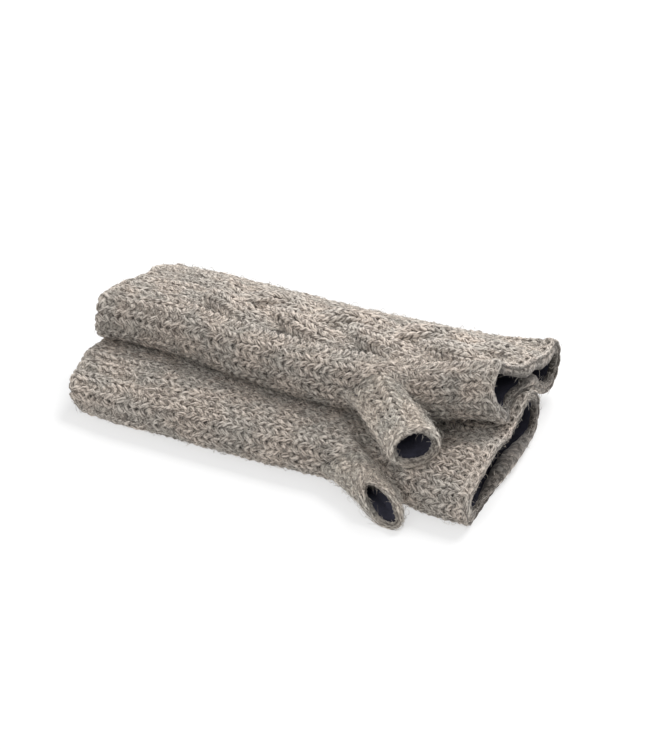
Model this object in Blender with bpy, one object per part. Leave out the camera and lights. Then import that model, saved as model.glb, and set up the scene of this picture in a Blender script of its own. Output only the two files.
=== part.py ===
"""A pair of fingerless knit hand warmers, one lying across the other on a flat surface.

Each one is a soft tube. Across its length it is described by sections in planes of constant x. A section
is a spine, a line that runs from the near fold to the far fold, with a half thickness along it: the tube's
skin lies that far from the spine on both sides and turns round its ends in half circles. Every layer of a
hand warmer is the same skin moved inwards: knit wall, then lining. The lower one's underside is flat on
the surface. The upper one's underside follows the lower one's top, then slopes down past its far fold.

Lengths in the tables are in millimetres, and MM turns them into Blender's metres. X runs from the wrist
to the fingers, Y from the near side to the far side, Z up.
"""

import math

import bmesh
import bpy
import numpy as np

MM = 0.001
NAME = "knit_hand_warmers"

# Layers, measured inwards from the skin
KNIT = 3.0
SEAM = 0.36
LINING_GAP = 0.6
LINING_OUT = KNIT + LINING_GAP
LINING = 1.1
LINING_IN = LINING_OUT + LINING

# Ribs of the cuff and the plait's three strands
CUFF_END = 40.0
RIBS = 20
RIB_HEIGHT = 1.3
PLAIT_START = 44.0
PLAIT_LEAD = 6.0
PLAIT_PERIOD = 133.0
PLAIT_SWING = 11.5
PLAIT_PHASE = 0.55
STRAND_HALF = 7.0
STRAND_HEIGHT = 3.6
STRAND_OVER = 1.0
STRANDS = 3

# What is raised fades between these heights of the skin's outward direction, so the undersides stay plain
RELIEF_NONE = -0.75
RELIEF_FULL = -0.15

# Cast-off edge at the finger mouth, and the rolled edge of the thumb
EDGE_LENGTH = 4.6
EDGE_BULGE = 0.9
LINING_BACK = 2.6

# How the upper one drops from the lower one's far fold to the surface
DROP_RUN = 36.0
DROP_START = 3.0
LIMIT_EASE = 0.15
REST_GAP = 0.6
ROOM_FADE = 22.0
THUMB_GAP = 0.6

# The thumb's root lies inside the slot's edges by these, and by more for each millimetre under the skin
ROOT_INSET = 1.6
ROOT_GAP = 0.45
ROOT_DEPTH_INSET = 1.6
ROOT_DEPTH_SHRINK = 1.1
SLOT_SHARPNESS = 1.3

# Where the thumb's lining starts and ends, as shares of the thumb's length
THUMB_LINING_START = 0.05
THUMB_LINING_END = 0.94

# Sections of the lower hand warmer: the folds' places, and the thickness at the near fold,
# in the middle and at the far fold
LOWER_SECTIONS = (
    # x, near fold, far fold, near thick, middle thick, far thick
    (-6.5, -1.0, 90.0, 15.0, 18.5, 11.0),
    (15.0, -4.0, 90.0, 17.0, 20.0, 11.5),
    (45.0, -6.5, 89.0, 18.0, 21.0, 12.5),
    (80.0, -9.0, 88.0, 18.5, 21.5, 13.5),
    (115.0, -10.5, 86.0, 19.0, 22.0, 15.0),
    (145.0, -11.5, 84.0, 20.0, 23.5, 17.0),
    (175.0, -14.5, 81.0, 20.0, 26.0, 20.0),
    (205.0, -21.5, 78.0, 19.5, 28.0, 24.0),
    (225.0, -22.5, 78.0, 19.0, 25.0, 27.0),
)

# Sections of the upper one, with the height that its far fold's underside drops to
UPPER_SECTIONS = (
    # x, near fold, far fold, near thick, middle thick, far thick, far height
    (-7.0, 41.0, 127.0, 19.0, 17.0, 12.0, 0.6),
    (20.0, 38.5, 127.0, 20.5, 18.5, 13.0, 0.6),
    (50.0, 34.0, 125.0, 21.0, 18.5, 14.5, 0.6),
    (85.0, 28.0, 121.5, 21.5, 19.0, 15.5, 0.6),
    (115.0, 24.0, 118.0, 22.0, 20.0, 16.5, 1.0),
    (145.0, 22.0, 114.0, 23.5, 20.5, 18.0, 2.5),
    (175.0, 22.0, 110.5, 25.0, 20.5, 20.0, 4.0),
    (205.0, 28.0, 108.0, 27.0, 18.0, 23.5, 6.0),
    (222.0, 34.0, 107.0, 28.0, 14.0, 25.5, 7.5),
)

# The upper one's ends aren't square: its wrist edge is drawn in at the far fold, its mouth at the near one
WRIST_SLANT = 9.0
MOUTH_SLANT = 6.0
SLANT_REACH = 34.0
SLANT_SHARE = 0.6

# Thumbs: the slot in the near fold that the thumb grows out of, and the mouth as an oval with its centre
# and two half axes. Lead-out and lead-in are the tangents of the curves between them. Points is the number
# of points round the thumb.
THUMBS = {
    "lower": {
        "points": 20,
        "slot": (143.0, 176.0, 10.5),
        "mouth": (181.2, -30.7, 9.6),
        "up": (-10.8, 6.0, 7.9),
        "across": (7.4, 2.4, 3.6),
        "lead_out": (24.0, -22.0, 0.0),
        "lead_in": (20.0, -30.0, -4.0),
    },
    "upper": {
        "points": 16,
        "slot": (143.0, 176.0, 11.0),
        "mouth": (189.5, -6.0, 31.8),
        "up": (-2.4, 2.4, 9.1),
        "across": (10.5, 8.2, 0.9),
        "lead_out": (24.0, -20.0, 0.0),
        "lead_in": (26.0, -24.0, -6.0),
    },
}

# Numbers of points in the meshes
SPINE_STEPS = 48
TURN_STEPS = 12
RIB_POINTS = 4
ROW_STEP = 11.0
CUFF_STEP = 22.0
PLAIT_FINENESS = 3
HALF_COLUMNS = 12
PLAIT_COLUMNS = 24
DRAPE_COLUMNS = 20
SLOT_REACH = 0.16
THUMB_STEPS = 5
GIRTH_SAMPLES = 200
CENTRE_SAMPLES = 81
SHARP_ANGLE = 50.0

COLOURS = {
    "wool": ((0.290, 0.257, 0.225, 1.0), 0.95),
    "felted_wool": ((0.335, 0.303, 0.270, 1.0), 0.98),
    "fleece": ((0.016, 0.016, 0.024, 1.0), 1.0),
}


def column(table, index):
    """One column of a table."""
    return np.array([row[index] for row in table])


def smooth_table(table, index, x):
    """A table's column at the places x: cubics through its rows, with slopes from each row's neighbours."""
    at = column(table, 0)
    values = column(table, index)
    slopes = np.gradient(values, at)
    x = np.clip(x, at[0], at[-1])
    row = np.clip(np.searchsorted(at, x, side="right") - 1, 0, len(at) - 2)
    step = at[row + 1] - at[row]
    t = (x - at[row]) / step
    start = values[row] + step * slopes[row] * t
    end = values[row + 1] - step * slopes[row + 1] * (1.0 - t)
    bend = t * t * (3.0 - 2.0 * t)
    return start * (1.0 - bend) + end * bend


def soft_step(t):
    """0 below 0, 1 above 1 and an even S between."""
    t = np.clip(t, 0.0, 1.0)
    return t * t * (3.0 - 2.0 * t)


def soft_limit(t):
    """t itself, but eased to stop at 1, between 1 - LIMIT_EASE and 1 + LIMIT_EASE."""
    over = np.clip(t - 1.0 + LIMIT_EASE, 0.0, 2.0 * LIMIT_EASE)
    return np.minimum(t, 1.0 + LIMIT_EASE) - over * over / (4.0 * LIMIT_EASE)


def through_three(t, first, middle, last):
    """The parabola that has these values at t = 0, 1/2 and 1."""
    rise = 4.0 * middle - 3.0 * first - last
    bend = 2.0 * (first + last) - 4.0 * middle
    return first + rise * t + bend * t * t


def length_of(side):
    """Stations of one hand warmer's two ends."""
    table = LOWER_SECTIONS if side == "lower" else UPPER_SECTIONS
    return table[0][0], table[-1][0]


def lower_spine(x):
    """Where the lower one's spine starts and ends at x, and its three thicknesses."""
    thick = [smooth_table(LOWER_SECTIONS, index, x) for index in (3, 4, 5)]
    start = smooth_table(LOWER_SECTIONS, 1, x) + thick[0] / 2.0
    end = smooth_table(LOWER_SECTIONS, 2, x) - thick[2] / 2.0
    return start, end, thick


def lower_top(x, y):
    """Height of the lower hand warmer's skin over the point (x, y), and 0 beside it."""
    start, end, thick = lower_spine(x)
    across = np.clip((y - start) / (end - start), 0.0, 1.0)
    level = through_three(across, *thick)
    near = np.clip((start - y) / (thick[0] / 2.0), 0.0, 1.0)
    far = np.clip((y - end) / (thick[2] / 2.0), 0.0, 1.0)
    beyond = np.maximum(near, far)
    return np.where(beyond < 1.0, level / 2.0 * (1.0 + np.sqrt(1.0 - beyond * beyond)), 0.0)


def relief_room(x):
    """Room for what is raised on the lower one under the upper: the cuff's ribs and the cast-off edge."""
    _, last = length_of("lower")
    ribs = RIB_HEIGHT * (1.0 - soft_step((x - CUFF_END) / ROOM_FADE))
    edge = EDGE_BULGE * soft_step((x - last + EDGE_LENGTH + ROOM_FADE) / ROOM_FADE)
    return ribs + edge


def upper_rest(x, y):
    """Height of the upper one's underside: on the lower one, then down an even slope past its far fold."""
    start, end, thick = lower_spine(x)
    across = soft_limit((y - start) / (end - start))
    on_lower = through_three(across, *thick) + relief_room(x) + REST_GAP
    foot = smooth_table(UPPER_SECTIONS, 6, x)
    drop = soft_step((y - end - DROP_START) / DROP_RUN)
    return foot + (on_lower - foot) * (1.0 - drop)


def skin(side, x, u):
    """The skin of one hand warmer at the stations x and at the shares u of the way round.

    u is 0 on the near fold, rises over the top, is 1/2 on the far fold and comes back underneath. Gives the
    points and the unit directions that lead straight out of the tube there, each as an array [x, u, 3].
    """
    table = LOWER_SECTIONS if side == "lower" else UPPER_SECTIONS
    station = np.asarray(x, float)[:, None]
    thick = [smooth_table(table, index, station) for index in (3, 4, 5)]
    start = smooth_table(table, 1, station) + thick[0] / 2.0
    end = smooth_table(table, 2, station) - thick[2] / 2.0
    across = np.linspace(0.0, 1.0, SPINE_STEPS + 1)[None, :]
    y = start + (end - start) * across
    rest = np.zeros_like(y) if side == "lower" else upper_rest(station, y)
    slope = np.gradient(rest, axis=1) / np.gradient(y, axis=1)
    lean = np.arctan(slope)
    half = through_three(across, *thick) / 2.0
    spine_y = y - half * np.sin(lean)
    spine_z = rest + half * np.cos(lean)

    # Angles of the outward direction, from straight out at the near fold round to the same again
    turn = np.linspace(0.0, 1.0, TURN_STEPS + 1)[None, :]
    near_top = math.pi + (lean[:, :1] + math.pi / 2.0 - math.pi) * turn
    top = lean + math.pi / 2.0
    far_turn = lean[:, -1:] + math.pi / 2.0 - math.pi * turn
    under = lean[:, ::-1] - math.pi / 2.0
    near_under = lean[:, :1] - math.pi / 2.0 + (-math.pi - lean[:, :1] + math.pi / 2.0) * turn
    angle = np.hstack([near_top, top, far_turn, under, near_under])

    def round_trip(values):
        """Values along the spine, repeated for the way over it, round its far end, back under and round."""
        first = np.repeat(values[:, :1], TURN_STEPS + 1, axis=1)
        last = np.repeat(values[:, -1:], TURN_STEPS + 1, axis=1)
        return np.hstack([first, values, last, values[:, ::-1], first])

    out_y = np.cos(angle)
    out_z = np.sin(angle)
    ring_y = round_trip(spine_y) + round_trip(half) * out_y
    ring_z = round_trip(spine_z) + round_trip(half) * out_z

    # The same rings with their points spaced evenly along the skin
    length = np.hypot(np.diff(ring_y, axis=1), np.diff(ring_z, axis=1)).cumsum(axis=1)
    length = np.hstack([np.zeros((len(length), 1)), length])
    share = length / length[:, -1:]
    wanted = np.mod(np.asarray(u, float), 1.0)
    if wanted.ndim == 1:
        wanted = np.repeat(wanted[None, :], len(share), axis=0)

    def spread(values):
        """Values along the fine rings, read at the wanted shares."""
        return np.array([np.interp(w, s, v) for w, s, v in zip(wanted, share, values)])

    points = np.stack([np.broadcast_to(station, wanted.shape), spread(ring_y), spread(ring_z)], axis=-1)
    if side == "upper":
        share_back = soft_step((points[..., 1] - start) / (SLANT_SHARE * (end - start)))
        at_wrist = 1.0 - soft_step((station - table[0][0]) / SLANT_REACH)
        at_mouth = 1.0 - soft_step((table[-1][0] - station) / SLANT_REACH)
        points[..., 0] += WRIST_SLANT * share_back * at_wrist
        points[..., 0] -= MOUTH_SLANT * (1.0 - share_back) * at_mouth
    out = np.stack([np.zeros_like(wanted), spread(out_y), spread(out_z)], axis=-1)
    out /= np.linalg.norm(out, axis=-1, keepdims=True)
    return points, out


def girth(side, x):
    """Length of the way round the skin at one station."""
    points, _ = skin(side, [x], np.arange(GIRTH_SAMPLES) / GIRTH_SAMPLES)
    return np.linalg.norm(points[0] - np.roll(points[0], 1, axis=0), axis=1).sum()


def half_shares(columns):
    """Shares of the way round from the near fold to the far one, closer together at the folds."""
    even = np.linspace(0.0, 1.0, columns + 1)
    return 0.25 * even + 0.125 * (1.0 - np.cos(math.pi * even))


def ring_shares(columns):
    """The same all the way round."""
    half = half_shares(columns)
    return np.concatenate([half[:-1], 1.0 - half[:0:-1]])


def stations(first, last, step):
    """Places along X: both ends, and the multiples of the step between them."""
    inner = np.arange(math.floor(first / step), math.ceil(last / step) + 1) * step
    inner = inner[(inner > first + 0.3 * step) & (inner < last - 0.3 * step)]
    return np.concatenate([[first], inner, [last]])


def slot_half(side, x):
    """Half the slot's height at x as a share of the way round: a lens, straight between its stations."""
    first, last, height = THUMBS[side]["slot"]
    knots = np.arange(first, last + 1.0, ROW_STEP)
    lens = np.sin(math.pi * (knots - first) / (last - first)) ** SLOT_SHARPNESS
    return np.interp(x, knots, lens * height / girth(side, (first + last) / 2.0))


def rib_relief(u):
    """Rounded ribs that run along the cuff, with narrow furrows between them."""
    return RIB_HEIGHT * np.abs(np.sin(math.pi * RIBS * u))


def plait_centre(side, x):
    """The plait's middle line as a share of the way round: down the middle of the back."""
    shares = np.linspace(0.0, 0.5, CENTRE_SAMPLES)
    points, _ = skin(side, x, shares)
    wanted = 0.5 * (points[:, 0, 1] + points[:, -1, 1])
    return np.array([np.interp(w, row[:, 1], shares) for w, row in zip(wanted, points)])


def plait_relief(x, offset):
    """Height of a three-strand plait at x along it and the offset from its middle line.

    Each strand swings from side to side once a period, a third of a period after the one before it, and
    rises and dips twice as often, so that it goes over one neighbour and under the next.
    """
    height = np.zeros(np.broadcast(x, offset).shape)
    for strand in range(STRANDS):
        phase = 2.0 * math.pi * ((x - PLAIT_START) / PLAIT_PERIOD + PLAIT_PHASE + strand / STRANDS)
        centre = PLAIT_SWING * np.sin(phase)
        off = np.clip(np.abs(offset - centre) / STRAND_HALF, 0.0, 1.0)
        over = STRAND_OVER * np.sin(2.0 * phase)
        strand_height = (STRAND_HEIGHT + over) * np.sqrt(1.0 - off * off)
        height = np.maximum(height, strand_height)
    return height * soft_step((x - PLAIT_START + PLAIT_LEAD) / PLAIT_LEAD)


def strip(first, second):
    """Triangles between two rows of points of any count, both running the same way."""
    faces = []
    i = 0
    j = 0
    while i < len(first) - 1 or j < len(second) - 1:
        next_i = (i + 1) / max(len(first) - 1, 1)
        next_j = (j + 1) / max(len(second) - 1, 1)
        if j == len(second) - 1 or (i < len(first) - 1 and next_i <= next_j):
            faces.append((first[i], first[i + 1], second[j]))
            i += 1
        else:
            faces.append((first[i], second[j + 1], second[j]))
            j += 1
    return faces


def grid_faces(ids, closed):
    """Triangles of a grid of point numbers, closed round its second direction or open.

    Every square is halved along the same diagonal, so that nested layers keep their distance.
    """
    across = np.roll(ids, -1, axis=1) if closed else ids[:, 1:]
    here = ids if closed else ids[:, :-1]
    first = np.stack([here[:-1], here[1:], across[1:]], axis=-1).reshape(-1, 3)
    second = np.stack([here[:-1], across[1:], across[:-1]], axis=-1).reshape(-1, 3)
    return [tuple(int(v) for v in face) for face in np.vstack([first, second])]


def add_object(name, points, faces, cloth, collection):
    """A smooth-shaded mesh object from points in millimetres, its faces turned outwards."""
    mesh = bpy.data.meshes.new(name)
    mesh.from_pydata((np.asarray(points) * MM).tolist(), [], faces)
    shape = bmesh.new()
    shape.from_mesh(mesh)
    bmesh.ops.recalc_face_normals(shape, faces=shape.faces)
    shape.to_mesh(mesh)
    shape.free()
    mesh.shade_smooth()
    mesh.set_sharp_from_angle(angle=math.radians(SHARP_ANGLE))
    mesh.materials.append(make_material(name, cloth))
    item = bpy.data.objects.new(name, mesh)
    collection.objects.link(item)
    return item


def add_wall(name, outer, inner, closed, cloth, collection):
    """A wall between an outer and an inner grid of points, which may have different counts."""
    points = np.vstack([outer.reshape(-1, 3), inner.reshape(-1, 3)])
    out_ids = np.arange(outer.shape[0] * outer.shape[1]).reshape(outer.shape[:2])
    in_ids = out_ids.size + np.arange(inner.shape[0] * inner.shape[1]).reshape(inner.shape[:2])
    faces = grid_faces(out_ids, closed) + grid_faces(in_ids, closed)
    for end in (0, -1):
        out_row = list(map(int, out_ids[end]))
        in_row = list(map(int, in_ids[end]))
        if closed:
            out_row.append(out_row[0])
            in_row.append(in_row[0])
        else:
            faces += strip(list(map(int, out_ids[:, end])), list(map(int, in_ids[:, end])))
        faces += strip(out_row, in_row)
    return add_object(name, points, faces, cloth, collection)


def add_cuff(side, cloth, collection):
    """The ribbed cuff: a short tube with ribs raised on it."""
    first, _ = length_of(side)
    x_out = stations(first, CUFF_END, CUFF_STEP)
    u = np.arange(RIBS * RIB_POINTS) / (RIBS * RIB_POINTS)
    points, out = skin(side, x_out, u)
    relief = rib_relief(u)[None, :]
    inside, inside_out = skin(side, x_out, ring_shares(HALF_COLUMNS))
    outer = raised(side, points, out, relief)
    return add_wall(f"{side}_cuff", outer, inside - KNIT * inside_out, True, cloth, collection)


def raised(side, points, out, relief):
    """The skin's points moved out by the relief, which fades where the skin turns down, above its rest."""
    fade = soft_step((out[..., 2] - RELIEF_NONE) / (RELIEF_FULL - RELIEF_NONE))
    moved = points + (relief * fade)[..., None] * out
    rest = 0.0
    if side == "upper":
        rest = lower_top(moved[..., 0], moved[..., 1]) + relief_room(moved[..., 0]) + REST_GAP
    moved[..., 2] = np.maximum(moved[..., 2], np.minimum(rest, points[..., 2]))
    return moved


def panel_shares(side, x, part, columns):
    """Shares of the way round for a panel's points: from the near seam, or the slot's edge, to the far."""
    seam = SEAM / 2.0 / girth(side, float(np.mean(x)))
    even = half_shares(columns)[None, :]
    near = slot_half(side, x)[:, None] * np.clip(1.0 - even / SLOT_REACH, 0.0, 1.0)
    over_top = np.clip(even + near, 0.0, 0.5 - seam) + seam * (even == 0.0)
    return over_top if part == "top" else 1.0 - over_top[:, ::-1]


def add_panel(side, part, name, fineness, columns, cloth, collection):
    """The upper or the lower half of the hand's tube, with the plait raised on it where it has one."""
    _, last = length_of(side)
    first = CUFF_END + SEAM
    x_out = stations(first, last - EDGE_LENGTH - SEAM, ROW_STEP / fineness)
    x_in = stations(first, last - EDGE_LENGTH - SEAM, ROW_STEP)
    u_out = panel_shares(side, x_out, part, columns)
    u_in = panel_shares(side, x_in, part, HALF_COLUMNS)
    points, out = skin(side, x_out, u_out)
    if name == "upper_back":
        centre = plait_centre(side, x_out)[:, None]
        around = np.array([girth(side, x) for x in x_out])[:, None]
        relief = plait_relief(x_out[:, None], (u_out - centre) * around)
        points = raised(side, points, out, relief)
    inside, inside_out = skin(side, x_in, u_in)
    return add_wall(name, points, inside - KNIT * inside_out, False, cloth, collection)


def add_bind_off(side, cloth, collection):
    """The cast-off edge: a narrow ring that bulges a little outwards."""
    _, last = length_of(side)
    x_out = last - EDGE_LENGTH * np.array([1.0, 0.7, 0.3, 0.0])
    bulge = EDGE_BULGE * np.array([0.0, 1.0, 1.0, 0.0])
    u = ring_shares(HALF_COLUMNS)
    points, out = skin(side, x_out, u)
    inside, inside_out = skin(side, x_out[[0, -1]], u)
    outer = raised(side, points, out, bulge[:, None])
    return add_wall(f"{side}_bind_off", outer, inside - KNIT * inside_out, True, cloth, collection)


def add_lining(side, cloth, collection):
    """The fleece tube inside cuff and hand, open at both ends and at the thumb's slot."""
    first, last = length_of(side)
    x = stations(first + LINING_BACK, last - LINING_BACK, ROW_STEP)
    over_top = panel_shares(side, x, "top", HALF_COLUMNS)
    u = np.hstack([over_top, 1.0 - over_top[:, -2::-1]])
    points, out = skin(side, x, u)
    outer = points - LINING_OUT * out
    inner = points - LINING_IN * out
    return add_wall(f"{side}_lining", outer, inner, False, cloth, collection)


def thumb_surface(side, depth, start_share, end_share, steps):
    """Rings of the thumb at a depth under its skin, from the slot to the mouth."""
    thumb = THUMBS[side]
    first, last, height = thumb["slot"]
    around = 2.0 * math.pi * np.arange(thumb["points"]) / thumb["points"]
    middle = 0.5 * (first + last)
    reach = 0.5 * (last - first) - ROOT_INSET - ROOT_DEPTH_INSET * depth
    x = middle - reach * np.cos(around)
    lens = slot_half(side, x) * (1.0 - ROOT_DEPTH_SHRINK * depth / height) - ROOT_GAP / girth(side, middle)
    u = np.sign(np.sin(around)) * lens
    points, out = skin(side, x, u[:, None])
    root = points[:, 0] - depth * out[:, 0]
    mouth = np.array(thumb["mouth"])
    up = np.array(thumb["up"])
    across = np.array(thumb["across"])
    up = up * (1.0 - depth / np.linalg.norm(up))
    across = across * (1.0 - depth / np.linalg.norm(across))
    rim = mouth - np.cos(around)[:, None] * across + np.sin(around)[:, None] * up
    t = np.linspace(start_share, end_share, steps + 1)[:, None, None]
    lead_out = np.array(thumb["lead_out"])
    lead_in = np.array(thumb["lead_in"])
    rings = (
        (2 * t**3 - 3 * t**2 + 1) * root
        + (t**3 - 2 * t**2 + t) * lead_out
        + (3 * t**2 - 2 * t**3) * rim
        + (t**3 - t**2) * lead_in
    )
    floor = depth
    if side == "upper":
        floor = lower_top(rings[..., 0], rings[..., 1]) + THUMB_GAP + depth
    rings[..., 2] = np.maximum(rings[..., 2], floor)
    return rings


def add_thumb(side, cloth, collection):
    """The knit thumb, open at the mouth and at the slot."""
    outer = thumb_surface(side, 0.0, 0.0, 1.0, THUMB_STEPS)
    inner = thumb_surface(side, KNIT, 0.0, 1.0, THUMB_STEPS)
    return add_wall(f"{side}_thumb", outer, inner, True, cloth, collection)


def add_thumb_lining(side, cloth, collection):
    """The fleece tube inside the thumb."""
    outer = thumb_surface(side, LINING_OUT, THUMB_LINING_START, THUMB_LINING_END, THUMB_STEPS)
    inner = thumb_surface(side, LINING_IN, THUMB_LINING_START, THUMB_LINING_END, THUMB_STEPS)
    return add_wall(f"{side}_thumb_lining", outer, inner, True, cloth, collection)


def make_material(name, cloth):
    """A Principled material of one piece's own, with its cloth's colour and roughness."""
    colour, roughness = COLOURS[cloth]
    material = bpy.data.materials.new(f"{name}_{cloth}")
    material.use_nodes = True
    shader = material.node_tree.nodes["Principled BSDF"]
    shader.inputs["Base Color"].default_value = colour
    shader.inputs["Roughness"].default_value = roughness
    shader.inputs["Metallic"].default_value = 0.0
    return material


def centre_on_base(items, collection):
    """Hangs the pair on an empty placed so that the origin is the middle of the pair's underside."""
    points = np.vstack([[list(v.co) for v in item.data.vertices] for item in items])
    low = points.min(axis=0)
    high = points.max(axis=0)
    pair = bpy.data.objects.new(NAME, None)
    collection.objects.link(pair)
    pair.location = (-(low[0] + high[0]) / 2.0, -(low[1] + high[1]) / 2.0, -low[2])
    for item in items:
        item.parent = pair


def build():
    """Empties the scene, then makes both hand warmers' pieces in a collection of their own."""
    for old in list(bpy.data.objects):
        bpy.data.objects.remove(old, do_unlink=True)
    collection = bpy.data.collections.new(NAME)
    bpy.context.scene.collection.children.link(collection)
    items = [
        add_panel("lower", "top", "lower_palm", 1, HALF_COLUMNS, "wool", collection),
        add_panel("lower", "under", "lower_back", 1, HALF_COLUMNS, "wool", collection),
        add_panel("upper", "top", "upper_back", PLAIT_FINENESS, PLAIT_COLUMNS, "wool", collection),
        add_panel("upper", "under", "upper_palm", 1, DRAPE_COLUMNS, "wool", collection),
    ]
    for side in ("lower", "upper"):
        items.append(add_cuff(side, "wool", collection))
        items.append(add_bind_off(side, "wool", collection))
        items.append(add_thumb(side, "felted_wool", collection))
        items.append(add_lining(side, "fleece", collection))
        items.append(add_thumb_lining(side, "fleece", collection))
    centre_on_base(items, collection)


build()
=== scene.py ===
# %% [markdown]
# # A pair of knit hand warmers, stitch by stitch
#
# Two long fingerless hand warmers in heathered wool lie one across the other. Their solid walls come from
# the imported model, and this lesson dresses them. Hand knitting is one long yarn pulled into loops, so the
# surface is made the way a knitter makes it: a curve for one loop, repeated along rows and columns, laid on
# the wall's form and given the thickness of the yarn. A picture of knitting would be quicker, but it stays
# flat at the folds and edges, and those are where a chunky knit shows what it is.

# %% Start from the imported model
import math

import bmesh
import bpy
import numpy as np
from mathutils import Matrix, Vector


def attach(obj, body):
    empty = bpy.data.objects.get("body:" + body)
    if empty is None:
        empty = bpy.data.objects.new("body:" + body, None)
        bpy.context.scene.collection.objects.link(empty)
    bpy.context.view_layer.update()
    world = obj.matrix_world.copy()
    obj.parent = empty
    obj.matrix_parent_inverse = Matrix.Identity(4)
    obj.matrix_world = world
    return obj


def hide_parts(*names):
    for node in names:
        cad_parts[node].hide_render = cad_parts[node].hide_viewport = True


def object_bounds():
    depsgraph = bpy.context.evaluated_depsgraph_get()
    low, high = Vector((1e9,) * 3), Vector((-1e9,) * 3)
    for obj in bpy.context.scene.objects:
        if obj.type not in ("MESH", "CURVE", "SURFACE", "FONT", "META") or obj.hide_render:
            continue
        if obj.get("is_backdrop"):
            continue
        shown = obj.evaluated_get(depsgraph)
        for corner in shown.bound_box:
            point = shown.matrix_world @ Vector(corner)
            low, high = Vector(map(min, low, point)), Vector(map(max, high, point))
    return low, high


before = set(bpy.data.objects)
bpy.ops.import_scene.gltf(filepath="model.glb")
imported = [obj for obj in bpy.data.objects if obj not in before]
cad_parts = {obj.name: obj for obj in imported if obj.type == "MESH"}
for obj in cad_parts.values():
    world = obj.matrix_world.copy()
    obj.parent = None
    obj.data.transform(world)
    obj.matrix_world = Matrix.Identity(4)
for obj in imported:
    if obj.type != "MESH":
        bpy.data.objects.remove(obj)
cad_box = [list(map(float, corner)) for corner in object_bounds()]
MM = 0.001
TURN = 2.0 * math.pi
print("solids:", len(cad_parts), "box, mm:", np.round(np.ptp(cad_box, axis=0) / MM, 1))

# %% [markdown]
# ## The form of each hand warmer
#
# Each one is a flattened tube. A section across it has a spine from the near fold to the far fold, with a
# half thickness along it, and the skin lies that far from the spine all round. The tables hold the sections
# in millimetres. The same sizes made the solids, so whatever is laid on this skin sits on them. The tables
# start at the wrist corner, and PAIR_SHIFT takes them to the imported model's origin.

# %% Sections of the two tubes
PAIR_SHIFT = np.array([-109.0, -43.714, 0.0])
SECTIONS = {
    "lower": np.array([
        # x, near fold, far fold, near thick, middle thick, far thick
        (-6.5, -1.0, 90.0, 15.0, 18.5, 11.0),
        (15.0, -4.0, 90.0, 17.0, 20.0, 11.5),
        (45.0, -6.5, 89.0, 18.0, 21.0, 12.5),
        (80.0, -9.0, 88.0, 18.5, 21.5, 13.5),
        (115.0, -10.5, 86.0, 19.0, 22.0, 15.0),
        (145.0, -11.5, 84.0, 20.0, 23.5, 17.0),
        (175.0, -14.5, 81.0, 20.0, 26.0, 20.0),
        (205.0, -21.5, 78.0, 19.5, 28.0, 24.0),
        (225.0, -22.5, 78.0, 19.0, 25.0, 27.0),
    ]),
    "upper": np.array([
        # x, near fold, far fold, near thick, middle thick, far thick, height of the far fold's underside
        (-7.0, 41.0, 127.0, 19.0, 17.0, 12.0, 0.6),
        (20.0, 38.5, 127.0, 20.5, 18.5, 13.0, 0.6),
        (50.0, 34.0, 125.0, 21.0, 18.5, 14.5, 0.6),
        (85.0, 28.0, 121.5, 21.5, 19.0, 15.5, 0.6),
        (115.0, 24.0, 118.0, 22.0, 20.0, 16.5, 1.0),
        (145.0, 22.0, 114.0, 23.5, 20.5, 18.0, 2.5),
        (175.0, 22.0, 110.5, 25.0, 20.5, 20.0, 4.0),
        (205.0, 28.0, 108.0, 27.0, 18.0, 23.5, 6.0),
        (222.0, 34.0, 107.0, 28.0, 14.0, 25.5, 7.5),
    ]),
}
FIRST = {side: table[0, 0] for side, table in SECTIONS.items()}
LAST = {side: table[-1, 0] for side, table in SECTIONS.items()}
NEAR_FOLD, FAR_FOLD, NEAR_THICK, MIDDLE_THICK, FAR_THICK, UNDERSIDE = range(1, 7)
CUFF_END = 40.0


def soft_step(t):
    """3t^2 - 2t^3: 0 below 0, 1 above 1 and an even S between."""
    t = np.clip(t, 0.0, 1.0)
    return t * t * (3.0 - 2.0 * t)


def column_at(side, index, x):
    """A table's column at the places x: a cubic between two rows, sloped as its neighbours are."""
    at = SECTIONS[side][:, 0]
    values = SECTIONS[side][:, index]
    slopes = np.gradient(values, at)
    x = np.clip(x, at[0], at[-1])
    row = np.clip(np.searchsorted(at, x, side="right") - 1, 0, len(at) - 2)
    step = at[row + 1] - at[row]
    t = (x - at[row]) / step
    start = values[row] + step * slopes[row] * t
    end = values[row + 1] - step * slopes[row + 1] * (1.0 - t)
    bend = soft_step(t)
    return start * (1.0 - bend) + end * bend


def through_three(t, first, middle, last):
    """The parabola that has these values at t = 0, 1/2 and 1."""
    rise = 4.0 * middle - 3.0 * first - last
    bend = 2.0 * (first + last) - 4.0 * middle
    return first + rise * t + bend * t * t


def spine_ends(side, x):
    """A spine's start and end at x: the folds drawn in by half their thickness. Its thicknesses as well."""
    thick = [column_at(side, index, x) for index in (NEAR_THICK, MIDDLE_THICK, FAR_THICK)]
    start = column_at(side, NEAR_FOLD, x) + thick[0] / 2.0
    end = column_at(side, FAR_FOLD, x) - thick[2] / 2.0
    return start, end, thick


print("lengths, mm:", {side: LAST[side] - FIRST[side] for side in SECTIONS})

# %% [markdown]
# ## How the upper one rests on the lower
#
# The lower one lies flat. The upper one's underside follows the lower one's top with a small gap, then slopes
# down past the lower one's far fold to the surface.

# %% The lower one's top and the upper one's rest
RIB_HEIGHT = 1.3
EDGE_BULGE = 0.9
EDGE_LENGTH = 4.6
ROOM_FADE = 22.0
REST_GAP = 0.6
DROP_RUN = 36.0
DROP_START = 3.0
LIMIT_EASE = 0.15


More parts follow.
